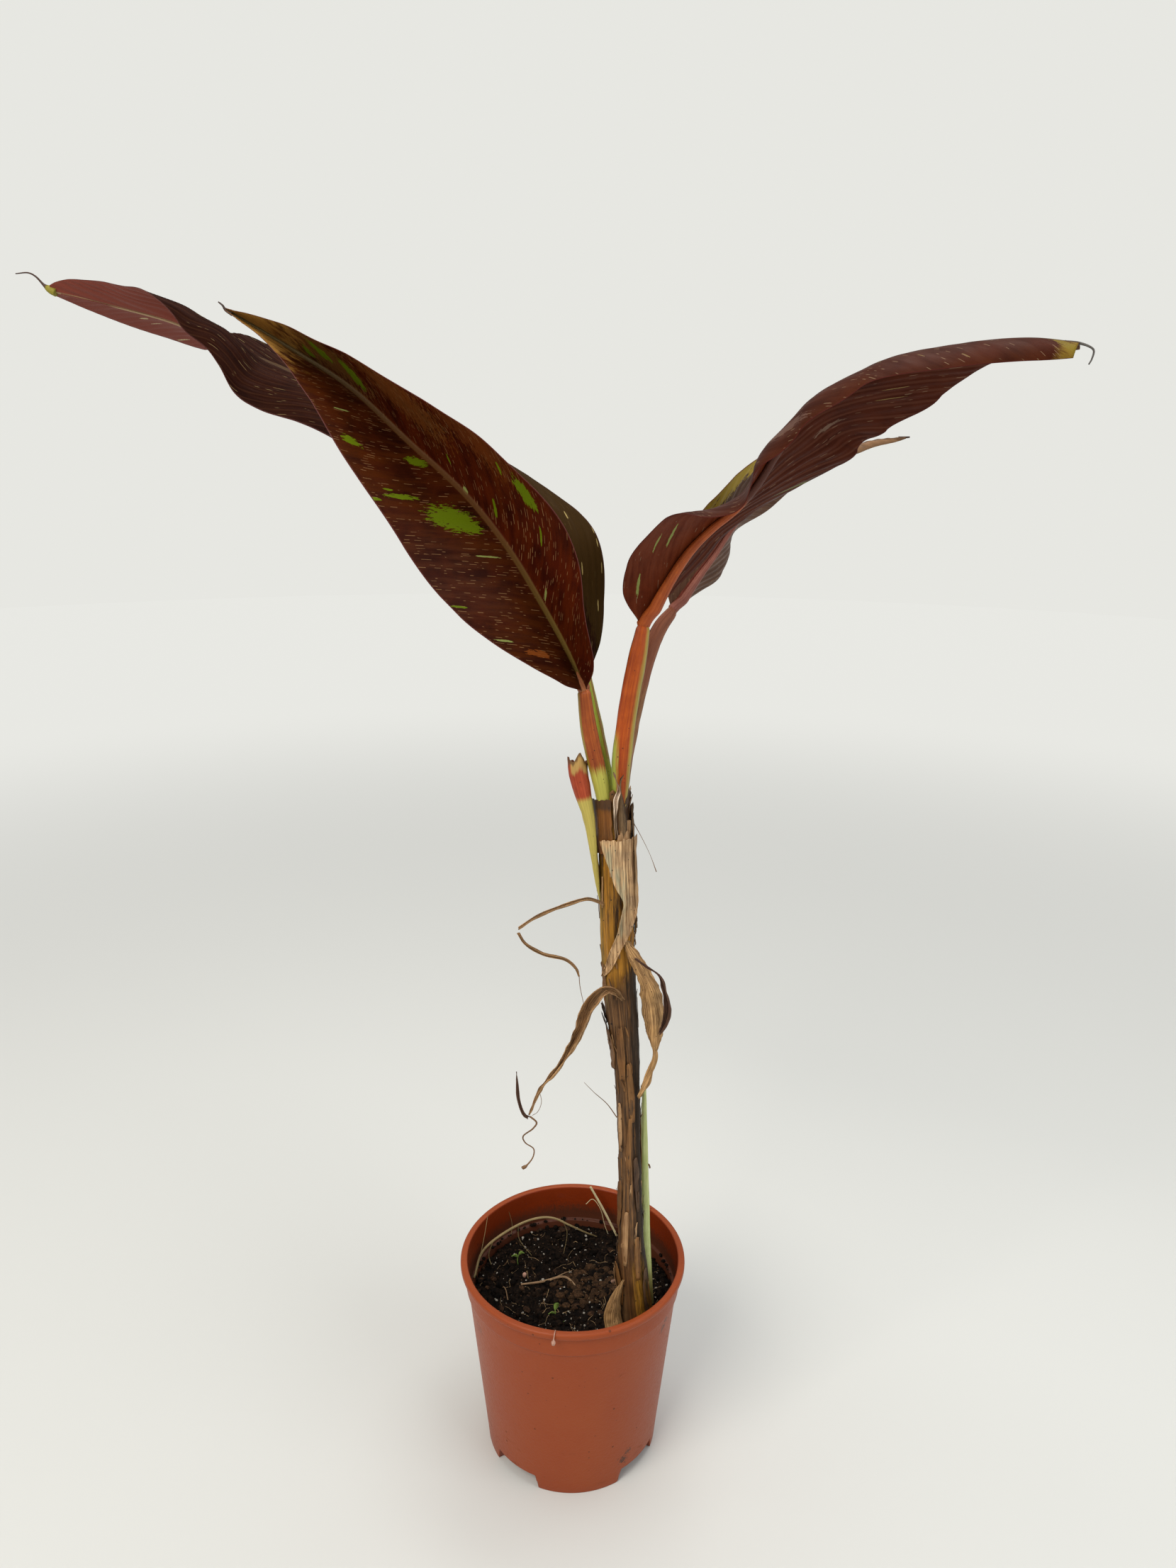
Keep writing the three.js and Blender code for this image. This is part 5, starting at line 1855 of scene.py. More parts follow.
TRUNK_SHREDS = (
    Shred(0.93, 18, 36, 9, 1.5, 2, Tone.DARK), Shred(0.95, 38, 34, 8, 3.0, -1, Tone.DARK),
    Shred(0.94, 58, 30, 9, 2.5, 1, Tone.DARK), Shred(0.955, 74, 20, 6, 3.0, 2, Tone.BROWN),
    Shred(0.9, 86, 30, 7, 3.0, 1, Tone.DARK), Shred(0.93, 98, 24, 5, 3.4, 2, Tone.BROWN),
    Shred(0.96, 30, 34, 4, 4.0, 3, Tone.PALE), Shred(0.97, 10, 18, 5, 2.4, -2, Tone.BROWN),
    Shred(0.975, 50, 33, 3, 5.0, -3, Tone.BROWN), Shred(0.925, 28, 30, 6, 1.8, 0, Tone.BROWN),
    Shred(0.98, 66, 14, 4, 3.0, 1, Tone.PALE), Shred(0.99, 22, 24, 2.2, 5.0, 4, Tone.DARK),
    Shred(0.82, 92, 34, 7, 1.8, 1, Tone.BROWN), Shred(0.78, 100, 26, 5, 2.2, 1, Tone.DARK),
    Shred(0.74, 84, 22, 5, 2.0, 0, Tone.BROWN), Shred(0.872, 96, 18, 7, 2.4, 0, Tone.DARK),
    Shred(0.828, 97, 13, 7, 2.2, 0, Tone.BROWN), Shred(0.8, 94, 14, 6, 1.8, 0, Tone.DARK),
    Shred(0.76, 96, 20, 6, 1.6, 1, Tone.DARK), Shred(0.885, 30, 26, 11, 1.4, 0, Tone.PALE),
    Shred(0.9, 52, 26, 7, 2.0, 0, Tone.PALE), Shred(0.555, -88, 30, 11, 2.6, 0, Tone.DARK),
    Shred(0.52, -66, 34, 8, 1.6, 2, Tone.BROWN), Shred(0.6, -100, 16, 8, 2.6, 0, Tone.DARK),
    Shred(0.63, -60, 40, 5, 1.0, 1, Tone.BROWN), Shred(0.5, -20, 46, 6, 0.8, 2, Tone.BROWN),
    Shred(0.42, 20, 50, 5, 0.7, -2, Tone.BROWN), Shred(0.36, -50, 44, 4, 0.9, 2, Tone.PALE),
    Shred(0.3, -10, 60, 4, 0.7, 3, Tone.BROWN), Shred(0.24, 40, 50, 5, 0.8, -2, Tone.DARK),
    Shred(0.2, -70, 46, 6, 1.2, 3, Tone.BROWN), Shred(0.13, -30, 50, 5, 0.9, 2, Tone.PALE),
    Shred(0.1, 20, 42, 5, 0.8, 1, Tone.BROWN), Shred(0.04, -60, 40, 9, 2.2, -2, Tone.BROWN),
    Shred(0.03, -85, 34, 8, 3.0, -3, Tone.PALE), Shred(0.02, 44, 44, 5, 1.2, 1, Tone.DARK),
    Shred(0.3, 120, 60, 8, 1.2, 2, Tone.BROWN), Shred(0.5, 150, 60, 9, 1.4, -2, Tone.BROWN),
    Shred(0.7, 170, 50, 8, 1.4, 2, Tone.DARK), Shred(0.2, -150, 60, 8, 1.2, 2, Tone.BROWN),
    Shred(0.85, -150, 50, 9, 1.8, 1, Tone.BROWN), Shred(0.88, 150, 46, 9, 2.2, 0, Tone.DARK),
    Shred(0.835, -82, 44, 11, 1.8, 0, Tone.BROWN))


@dataclass(frozen=True)
class Strip:
    """A dried leaf or strip: a crumpled ribbed sheet folded along its middle."""

    name: str
    form: BladeForm
    finish: FibreFinish
    slot: Slot = Slot.DRY_LEAF
    replaces: tuple[str, ...] = ()
    thickness: float = 0.5
    crumple: float = 1.0
    ribs: float = 2.2
    rib_depth: float = 0.25
    torn: float = 2.5
    rows: int = 110
    half_columns: int = 14
    seed: int = 51

    def shell(self) -> Shell:
        """The strip as a closed thin sheet.

        Returns:
            The shell, with the mark "skin" holding a turn from the distance across, and the length.
        """
        shares = np.linspace(0, 1, self.rows)
        columns = np.linspace(0, 1, self.half_columns)
        grid, across = self.form.surface(shares, columns)
        length = Line(self.form.rib).length
        spread = np.linspace(-1, 1, len(across[0]))[None, :]
        normal = normals_of(grid)
        along = self.form.axes(shares)[1][:, None]
        tear = ripple(places(spread * 9, 0, 0), 1.3, self.seed, 2)
        ends = smooth(shares, 0.75, 1.0)[:, None] - (1 - smooth(shares, 0, 0.2))[:, None]
        grid = grid + along * (tear * ends * self.torn)[..., None]
        rise = ripple(grid, 9, self.seed + 1, 2) * self.crumple
        rise = rise + np.cos(across * 2 * np.pi / self.ribs) * self.rib_depth
        grid = grid + normal * rise[..., None]
        turn = np.radians(spread * 100)
        skin = places(np.sin(turn), np.cos(turn), (shares * length)[:, None])
        return thin_sheet(grid, self.thickness / 2, self.thickness / 2, {"skin": skin})

    def build(self) -> Pieces:
        """Builds and dresses the strip, one piece."""
        return [make_piece(self.name, self.shell(), [self.finish.build(self.name)], self.replaces)]


def strip_form(line: Points, width: Stations, roll: Stations, lift: float, curl: float,
               facing: Place = (0, -1, 0)) -> BladeForm:
    """A strip with two like halves, folded up at the middle and curled to the edges by degrees."""
    half = Half(width, ((0, lift), (1, lift)), ((0, curl), (1, curl)))
    return BladeForm(line, roll, half, half, facing, 0.1)


DRY_BROWN = FibreFinish(
    dark=(0.11, 0.042, 0.014), mid=(0.34, 0.16, 0.055), light=(0.64, 0.42, 0.21), contrast=1.1,
    fibre=(0.5, 26), speck_amount=0.3, roughness=0.66, relief=0.0006)
DRY_PALE = FibreFinish(
    dark=(0.2, 0.09, 0.03), mid=(0.44, 0.23, 0.08), light=(0.66, 0.43, 0.2), contrast=0.9, light_share=0.5,
    fibre=(0.5, 26), speck_amount=0.3, roughness=0.62, relief=0.0007)
DRY_PURPLE = FibreFinish(
    dark=(0.03, 0.012, 0.012), mid=(0.07, 0.028, 0.024), light=(0.3, 0.16, 0.07), contrast=0.8,
    fibre=(0.5, 26), light_share=0.35, speck_amount=0.2, roughness=0.6)
PALE_SHRED = FibreFinish(
    dark=(0.26, 0.15, 0.09), mid=(0.62, 0.45, 0.31), light=(0.88, 0.74, 0.58), contrast=0.6, fibre=(0.4, 18),
    speck_amount=0.2, roughness=0.65,
    zones=(
        Zone(0, 180, -10, 17, (0.13, 0.07, 0.03), 0.8, 0.4, 6),
        Zone(0, 180, 38, 70, (0.2, 0.1, 0.05), 0.85, 0.3, 4)))
DARK_SHRED = FibreFinish(
    dark=(0.035, 0.016, 0.007), mid=(0.15, 0.08, 0.032), light=(0.34, 0.22, 0.11), contrast=0.9,
    fibre=(0.5, 26), speck_amount=0.3, roughness=0.65,
    zones=(Zone(90, 50, -10, 60, (0.035, 0.018, 0.009), 0.8, 0.3, 6),))
STRIPS = (
    Strip(
        "dried_leaf_left_sheet",
        strip_form(
            (
                (36.5, -45, 447), (31, -47.5, 454.5), (24, -48.5, 456.5), (14.5, -50.5, 446), (6.9, -54, 425),
                (-8.9, -58, 397), (-24, -60, 377), (-32.6, -62, 357.3)),
            ((0, 2.5), (0.12, 7), (0.25, 10.5), (0.42, 8.5), (0.6, 4.6), (0.8, 3), (1, 1.6)),
            ((0, 10), (1, 70)), 34, 70),
        DRY_BROWN, replaces=("dried_leaf_left",), crumple=1.2, ribs=1.7, rib_depth=0.3, seed=51),
    Strip(
        "dried_leaf_left_tip_sheet",
        strip_form(
            ((-33.9, -62.3, 355.3), (-37, -64, 358.5), (-41.5, -65, 372), (-42.8, -66, 396.3)),
            ((0, 1.8), (0.4, 1.9), (1, 0.4)), ((0, 0), (1, 60)), 30, 50),
        DRY_PURPLE, replaces=("dried_leaf_left_tip",), crumple=0.4, torn=0.5, rows=60, seed=53),
    Strip(
        "dried_leaf_right_sheet",
        strip_form(
            (
                (36.5, -41, 494), (45, -46, 480), (54.5, -49, 461), (60, -46, 437), (62, -44, 404),
                (62.5, -44.5, 397), (56, -46, 379), (50.2, -47, 364.8)),
            (
                (0, 4), (0.15, 8), (0.32, 11), (0.45, 14), (0.56, 13.5), (0.68, 7), (0.75, 2.6), (0.8, 3),
                (0.9, 4.6), (1, 2.6)),
            ((0, 0), (0.7, 10), (1, 60)), -20, -66),
        DRY_PALE, replaces=("dried_leaf_right",), crumple=1.5, ribs=2.3, rib_depth=0.45, torn=4, seed=55),
    Strip(
        "dried_leaf_right_rim_sheet",
        strip_form(
            (
                (46, -47, 481.5), (54, -50.5, 477), (63.6, -51, 470), (69, -50, 456), (72.2, -48, 440),
                (70.5, -46, 427), (66, -45, 418)),
            ((0, 1.2), (0.3, 1.8), (0.6, 4.5), (0.85, 5), (1, 2)), ((0, 20), (1, 40)), 20, 80),
        DRY_PURPLE, crumple=0.8, ribs=1.8, rib_depth=0.25, torn=1.5, rows=90, seed=61),
    Strip(
        "dried_strip_upper_sheet",
        strip_form(
            (
                (21.3, -36.9, 520.8), (9.7, -46, 527.8), (-3.2, -56, 527.9), (-26, -64, 521.1),
                (-39.8, -66, 512.4)),
            ((0, 1.4), (0.5, 2.2), (1, 1.6)), ((0, 40), (1, 80)), 20, 60),
        DRY_BROWN, replaces=("dried_strip_upper",), crumple=0.5, torn=0.6, rows=90, seed=57),
    Strip(
        "dried_strip_lower_sheet",
        strip_form(
            (
                (-39.7, -66, 509.9), (-34.7, -66, 501.9), (-22.6, -62, 492.3), (-5.5, -58, 485.5),
                (1.8, -56, 477.1), (3.9, -55, 470.3)),
            ((0, 1.6), (0.5, 2.1), (1, 0.6)), ((0, 40), (1, 20)), 20, 60),
        DRY_BROWN, replaces=("dried_strip_lower",), crumple=0.5, torn=0.6, rows=90, seed=59),
    Strip(
        "curled_shred_pale",
        strip_form(
            (
                (30.6, -33, 571.4), (28.8, -35.5, 584.3), (28.6, -36.5, 593.9), (30, -37, 601.6),
                (30.9, -36.4, 608.3), (29.8, -36, 613.9), (28.2, -36.6, 618.4), (27.4, -38.4, 622.8)),
            ((0, 2.4), (0.25, 1.5), (0.45, 2.2), (0.6, 3.2), (0.74, 1.7), (0.84, 0.7), (0.92, 1.1), (1, 0.3)),
            ((0, 0), (0.4, 35), (0.6, -20), (0.8, 60), (1, 170)), 24, 60),
        PALE_SHRED, crumple=0.5, ribs=1.5, rib_depth=0.12, torn=0.8, rows=64, half_columns=10, seed=67),
    Strip(
        "curled_shred_dark",
        strip_form(
            (
                (35.4, -32, 566), (35.6, -34.6, 581.2), (34.8, -35.6, 593.5), (33.6, -35.6, 603.7),
                (32.5, -34.8, 610.9), (33.2, -35.2, 616.4), (34.6, -37, 620.6)),
            ((0, 4.6), (0.3, 4), (0.55, 2.8), (0.72, 1.5), (0.82, 0.9), (0.92, 1.3), (1, 0.3)),
            ((0, 14), (0.6, 30), (0.82, 70), (1, 150)), -16, -48),
        DARK_SHRED, crumple=0.6, ribs=1.6, rib_depth=0.15, torn=0.8, rows=64, half_columns=10, seed=69),
    Strip(
        "husk_at_trunk_foot",
        strip_form(
            ((42, -50, 196), (37, -52, 178), (35, -55, 160), (39, -58, 146)),
            ((0, 0.8), (0.3, 6), (0.7, 9), (1, 7.5)), ((0, -40), (1, -20)), -8, -42),
        DRY_PALE, crumple=1.4, rows=60, torn=2, seed=63))


@dataclass(frozen=True)
class Threads:
    """Fine dry threads and hairs that hang from the dried leaves."""

    limbs: tuple[Limb, ...] = (
        Limb(
            (
                (-32.6, -63, 356), (-27.6, -64, 351.2), (-30.3, -66, 347.5), (-37.9, -66, 340.6),
                (-36.4, -64, 333.6), (-30, -63, 327.4), (-30.5, -64, 321.1), (-35.4, -65, 314.1),
                (-38.7, -65, 311.5)),
            ((0, 0.8), (0.5, 0.55), (0.92, 0.7), (0.96, 1.6), (1, 1.5)), 0.6),
        Limb(
            ((8.4, -58, 382.9), (16, -55, 372.6), (26.1, -50, 359.6), (34.1, -44, 343.9)),
            ((0, 0.15), (1, 0.45))),
        Limb(
            ((3.9, -55, 470.3), (4.5, -56, 463.3), (6.7, -57, 452.2), (9.5, -58, 439.9)),
            ((0, 0.3), (1, 0.12))),
        Limb(
            ((41, -24, 584), (50.2, -28, 568.2), (56.1, -30, 556.2), (60.5, -32, 544.7)),
            ((0, 0.3), (0.7, 0.15), (1, 0.35))),
        Limb(
            ((27.9, -47, 458.5), (19.9, -49, 457.6), (15.2, -50, 449.9), (12.1, -50, 438)),
            ((0, 0.3), (1, 0.15))),
        Limb(((-26, -60, 378), (-24, -62, 368), (-27, -63, 360), (-31, -63, 357)), ((0, 0.2), (1, 0.2))),
        Limb(((59.5, -24, 288), (61.8, -24.5, 287), (62.6, -25, 284.5)), ((0, 0.9), (1, 0.6))))

    def build(self) -> Pieces:
        """Builds and dresses the threads.

        Returns:
            Their one piece.
        """
        finish = FibreFinish(
            dark=(0.09, 0.04, 0.018), mid=(0.2, 0.1, 0.045), light=(0.34, 0.2, 0.1), speck_amount=0)
        shell = merged([limb.tube(60, 8) for limb in self.limbs])
        return [make_piece("dry_threads", shell, [finish.build("dry threads")])]


@dataclass(frozen=True)
class Stump:
    """The cut leaf stub on the left of the trunk's top, and the old green sheath at its foot."""

    stub: Limb = Limb(
        (
            (18.9, -33.5, 521), (16.6, -33.5, 538), (14, -33.5, 558.2), (10.2, -31, 585.1), (5, -28, 605.9),
            (1.7, -26, 621.4), (1.4, -24, 629.2)),
        ((0, 0.4), (0.15, 1.6), (0.36, 2.7), (0.6, 4.4), (0.82, 6.6), (1, 7.5)))
    sheath: Limb = Limb(
        (
            (65.7, -24, 149.4), (62.2, -24, 190), (60.2, -24, 220.7), (58.7, -24, 262.7), (57, -24, 316.8),
            (56.2, -25, 362.6)),
        ((0, 3.4), (0.25, 4.2), (0.6, 3.6), (1, 1.6)))

    def stub_shell(self) -> Shell:
        """The stub, hollow, with a ragged horned top where it was cut.

        Returns:
            The closed shell, with the mark "skin".
        """
        rows, columns = 90, 40
        grid, outward, skin = self.stub.rings(rows, columns)
        turn = np.degrees(np.arctan2(skin[..., 0], skin[..., 1]))
        horns = 7 * np.exp(-(((turn - 15) / 26) ** 2)) + 4 * np.exp(-(((turn + 95) / 26) ** 2)) - 2.5
        ragged = ripple(places(skin[..., 0] * 3, skin[..., 1] * 3, 0), 0.9, 61, 2) * 2.5
        top = smooth(np.linspace(0, 1, rows), 0.82, 1.0)[:, None]
        grid[..., 2] += (horns + ragged) * top
        grid = grid + unit(outward) * (ripple(grid * (1, 1, 0.1), 1.6, 62, 2) * 0.3)[..., None]
        middle = grid[-1].mean(0)
        hollow = ((0.84, 0.2), (0.74, 4), (0.6, 9))
        inner = [middle + (grid[-1] - middle) * (k, k, 1) - (0, 0, deep) for k, deep in hollow]
        inner[-1][:, 2] = inner[-1][:, 2].mean()
        marks = np.concatenate([skin, skin[-1:], skin[-1:] - (0, 0, 8), skin[-1:] - (0, 0, 10)])
        return closed_tube(np.concatenate([grid, np.stack(inner)]), {"skin": marks})

    def build(self) -> Pieces:
        """Builds and dresses both pieces.

        Returns:
            The two pieces.
        """
        flesh = FibreFinish(
            dark=(0.24, 0.025, 0.008), mid=(0.34, 0.042, 0.012), light=(0.4, 0.1, 0.035), light_share=0.35,
            speck_amount=0.15, roughness=0.5,
            zones=(
                Zone(0, 180, -20, 78, (0.44, 0.36, 0.08), 0.95, 0.12, 5),
                Zone(15, 60, 103, 150, (0.42, 0.28, 0.08), 0.85, 0.3, 4),
                Zone(0, 180, 109, 150, (0.1, 0.045, 0.015), 0.85, 0.4, 3)))
        green = FibreFinish(
            dark=(0.34, 0.4, 0.1), mid=(0.46, 0.5, 0.18), light=(0.66, 0.68, 0.38), light_share=0.4,
            speck_amount=0.08, roughness=0.45, relief=0.0003,
            zones=(Zone(0, 180, -10, 30, (0.25, 0.2, 0.05), 0.7),))
        grid, outward, skin = self.sheath.rings(120, 28)
        grid = grid + unit(outward) * (ripple(grid * (1, 1, 0.06), 1.8, 64, 2) * 0.25)[..., None]
        stub = make_piece(
            "cut_stub_flesh", self.stub_shell(), [flesh.build("cut stub")], ("cut_stub",))
        sheath = make_piece(
            "old_sheath_green_skin", closed_tube(grid, {"skin": skin}), [green.build("green sheath")],
            ("old_sheath_green",))
        return [stub, sheath]


# Pot and soil


@dataclass(frozen=True)
class Pot:
    """The round nursery pot, its sizes in mm."""

    height: float = 182
    rim: float = 96
    mouth: float = 90
    lip: float = 5.5
    collar: float = 25
    collar_step: float = 1.8
    base: float = 74.3
    wall: float = 2.2
    ledge: float = 33
    ledge_step: float = 2.6
    foot: float = 13.5
    floor: float = 2.5
    ring: float = 9
    feet: int = 4
    foot_half_turn: float = 28
    foot_turn: float = 5.6
    foot_slant: float = 2
    pad: float = 18
    edge: float = 1.2
    run: float = 9
    sides: int = 288

    def inner_radius(self, height: float) -> float:
        """Radius of the inner wall.

        Args:
            height: Height above the floor that the pot stands on, in mm.

        Returns:
            The radius in mm.
        """
        floor = self.foot + self.floor
        share = (height - floor) / (self.height - self.ledge - floor)
        return (self.base - self.wall) * (1 - share) + (self.mouth - 1 - self.ledge_step) * share

    def corners(self) -> list[tuple[float, float, float, float]]:
        """Corners of the outline from the pad under the pot up its outside and down the inside.

        Returns:
            Radius, height, 1 outside or -1 inside, and how far each corner is rounded.
        """
        e = self.edge
        collar = self.mouth + self.wall - 0.6
        low, high = self.height - self.collar, self.height - self.lip
        ring, ledge, floor = self.base - self.ring, self.height - self.ledge, self.foot + self.floor
        return [
            (0.5, 0, 1, 0), (self.pad, 0, 1, 0.4), (self.pad + e, self.foot, 1, 0.6),
            (ring, self.foot, 1, 0.6), (ring, 0, 1, 0.6), (self.base, 0, 1, 0.8),
            (self.base + e, self.foot, 1, 0.3), (collar - self.collar_step, low, 1, 0.7),
            (collar, low + e, 1, 0.9), (collar, high, 1, 0.8), (self.rim - e / 2, high, 1, 0.8),
            (self.rim, high + e, 1, 0.9), (self.rim, self.height - e, 1, 1.4),
            (self.rim - e, self.height, 1, 1.2), (self.mouth + 1, self.height, 1, 0.9),
            (self.mouth, self.height - 1, -1, 0.9), (self.mouth - 1, ledge, -1, 0.6),
            (self.inner_radius(ledge), ledge - 1, -1, 0.6), (self.inner_radius(floor), floor, -1, 0.6),
            (0.5, floor, -1, 0),
        ]

    def profile(self) -> Array:
        """The outline with its corners rounded and its long runs divided.

        Returns:
            Radius, height and side of each point.
        """
        corners = self.corners()
        rounded: list[Array] = []
        for i, (r, z, side, bevel) in enumerate(corners):
            here = np.array([r, z], float)
            if bevel:
                before = np.array(corners[i - 1][:2], float) - here
                after = np.array(corners[i + 1][:2], float) - here
                cut = min(bevel, 0.45 * float(np.linalg.norm(before)), 0.45 * float(np.linalg.norm(after)))
                a, b = here + unit(before) * cut, here + unit(after) * cut
                for t in (0, 0.3, 0.7, 1):
                    rounded.append(np.append((1 - t) ** 2 * a + 2 * t * (1 - t) * here + t * t * b, side))
            else:
                rounded.append(np.append(here, side))
        points = [rounded[0]]
        for p in rounded[1:]:
            start = points[-1]
            parts = int(np.linalg.norm(p[:2] - start[:2]) // self.run) + 1
            points += [start + (p - start) * (k / parts, k / parts, 1) for k in range(1, parts + 1)]
        return np.array(points)

    def shell(self) -> Shell:
        """The pot turned about its axis, its foot ring cut into feet.

        Returns:
            The closed shell, with the mark "skin" holding the turn and the height, below zero inside.
        """
        outline = self.profile()
        turn = np.linspace(0, 2 * np.pi, self.sides, endpoint=False)
        radius = np.repeat(outline[:, None, 0], self.sides, 1)
        height = np.repeat(outline[:, None, 1], self.sides, 1)
        pitch = 360 / self.feet
        away = np.abs((np.degrees(turn) - self.foot_turn + pitch / 2) % pitch - pitch / 2)
        slant = math.degrees(self.foot_slant / self.base)
        lifted = smooth(away, self.foot_half_turn - slant, self.foot_half_turn + slant)[None, :] * self.foot
        foot = (radius > self.base - self.ring - 1) & (height < self.foot) & (outline[:, None, 2] > 0)
        height = np.where(foot, np.maximum(height, lifted - 0.02), height)
        lean = ripple(places(np.cos(turn) * 2, np.sin(turn) * 2, 0), 1.5, 71, 2)
        radius = radius + lean[None, :] * 0.35 * smooth(height, 60, 180)
        grid = places(radius * np.cos(turn), radius * np.sin(turn), height)
        skin = places(np.sin(turn)[None], np.cos(turn)[None], outline[:, None, 1] * outline[:, None, 2])
        return closed_tube(grid, {"skin": skin})

    def build(self) -> Pieces:
        """Builds and dresses the pot, one piece."""
        return [make_piece("pot_shell", self.shell(), [PotFinish().build("pot plastic")], ("pot",))]


@dataclass(frozen=True)
class Soil:
    """The heaped potting mix: its surface, clods, perlite, bark and fibres."""

    level: float = 136
    heap: float = 14
    heap_radius: float = 26
    heap_spread: float = 30
    trunk: tuple[float, float] = (54.1, -38)
    trunk_clear: float = 15
    depth: float = 30
    edge: float = 84.4
    ledge_edge: float = 88.4
    ledge_top: float = 149.2
    ledge_lump: float = 2.2
    bank: float = 7.5
    clods: int = 1200
    seed: int = 81

    def height(self, x: Array | float, y: Array | float) -> Array:
        """Height of the smooth surface.

        Args:
            x: Places to the right of the pot's axis, in mm.
            y: Places behind it.

        Returns:
            The heights in mm.
        """
        away = np.maximum(0, np.hypot(x - self.trunk[0], y - self.trunk[1]) - self.heap_radius)
        out = np.hypot(x, y)
        side = 0.45 + 0.55 * smooth((y - x) / np.maximum(out, 1.0), -0.9, 0.6)
        heap = self.heap * np.exp(-((away / self.heap_spread) ** 2))
        return self.level + heap + self.bank * side * smooth(out, 50, 84)

    def ground(self, x: Array | float, y: Array | float) -> Array:
        """Height of the crumbly surface.

        Args:
            x: Places to the right of the pot's axis, in mm.
            y: Places behind it.

        Returns:
            The heights in mm.
        """
        flat = places(x, y, 0.0)
        lumps = ripple(flat, 22, self.seed) * 2.4 + ripple(flat, 8, self.seed + 1, 2) * 2.6
        lumps = lumps + np.abs(ripple(flat, 3.0, self.seed + 2, 2)) * 2.6
        lumps = lumps + ripple(flat, 1.6, self.seed + 3) * 0.6
        return self.height(x, y) + lumps * smooth(self.edge - np.hypot(x, y), 0, 3) - 0.5

    def surface(self) -> Shell:
        """The crumbly surface, closed by a level underside.

        Returns:
            The closed shell.
        """
        rings, sides = 120, 300
        radius = np.linspace(0, 1, rings)[::-1, None] * self.edge
        turn = np.linspace(0, 2 * np.pi, sides, endpoint=False)[None, :]
        x, y = radius * np.cos(turn), radius * np.sin(turn)
        top = places(x, y, self.ground(x, y))
        low = top[0] * (0.97, 0.97, 1)
        low[:, 2] = self.level - self.depth
        return closed_tube(np.concatenate([low[None], top]), {})

    def scattered(self, count: int, size: tuple[float, float], flatness: float, seed: int, lift: float,
                  reach: float | None = None, middle: tuple[float, float] = (0.0, 0.0),
                  clear: float = 0.0) -> Shell:
        """Small irregular lumps that lie on the surface and the pot's ledge.

        Args:
            count: How many.
            size: Smallest and largest radius in mm.
            flatness: Height as a share of the width.
            seed: Which scatter.
            lift: Share of its height that a lump stands above the surface.
            reach: Largest distance from the middle in mm.
            middle: Middle of the scatter.
            clear: Share of the reach about the middle that is left free.

        Returns:
            The shell of all the lumps.
        """
        random = np.random.default_rng(seed)
        ball = bpy.data.meshes.new("lump")
        work = bmesh.new()
        bmesh.ops.create_icosphere(work, subdivisions=2, radius=1)
        work.to_mesh(ball)
        work.free()
        base = np.array([v.co for v in ball.vertices])
        faces = np.array([list(f.vertices) for f in ball.polygons])
        bpy.data.meshes.remove(ball)
        shells = []
        for i in range(count):
            away = math.sqrt(random.uniform(clear**2, 1)) * (reach or self.ledge_edge - 2)
            turn = random.uniform(0, 2 * math.pi)
            x, y = middle[0] + away * math.cos(turn), middle[1] + away * math.sin(turn)
            away = math.hypot(x, y)
            if math.hypot(x - self.trunk[0], y - self.trunk[1]) < self.trunk_clear:
                continue
            r = size[0] + (size[1] - size[0]) * random.uniform(0, 1) ** 2.5
            z = self.ledge_top if away > self.edge + 0.5 else float(self.ground(np.array(x), np.array(y)))
            r = min(r, self.ledge_lump) if away > self.edge - 3 else r
            lump = base * (1 + 0.28 * ripple(base + i * 3.1, 0.8, seed, 2))[:, None]
            lump = lump * random.uniform(0.7, 1.3, 3) * (1, 1, flatness) * r
            spin = np.array(Matrix.Rotation(random.uniform(0, 6.28), 3, "Z"))
            shells.append(Shell(lump @ spin.T + (x, y, z + r * flatness * lift), [faces],
                                [np.zeros(len(faces), int)]))
        return merged(shells)

    def hairs(self, count: int, seed: int) -> Shell:
        """Fine roots, straw and fibres that lie on the soil.

        Args:
            count: How many.
            seed: Which scatter.

        Returns:
            The shell of all of them.
        """
        random = np.random.default_rng(seed)
        reach, far, clear, stations, fewest = 78, 82, 14, 6, 4
        shells = []
        for _ in range(count):
            away, turn = math.sqrt(random.uniform(0, 1)) * reach, random.uniform(0, 2 * math.pi)
            x, y = away * math.cos(turn), away * math.sin(turn)
            heading = random.uniform(0, 2 * math.pi)
            step = random.uniform(1.5, 5)
            points = []
            for _ in range(stations):
                if math.hypot(x, y) > far or math.hypot(x - self.trunk[0], y - self.trunk[1]) < clear:
                    break
                points.append((x, y, float(self.ground(np.array(x), np.array(y))) + random.uniform(0.2, 1.4)))
                heading += random.uniform(-0.6, 0.6)
                x, y = x + step * math.cos(heading), y + step * math.sin(heading)
            if len(points) < fewest:
                continue
            thick = random.uniform(0.12, 0.32)
            shells.append(Limb(tuple(points), ((0, thick), (1, thick * 0.4)), facing=(0, 0, 1)).tube(16, 6))
        return merged(shells)

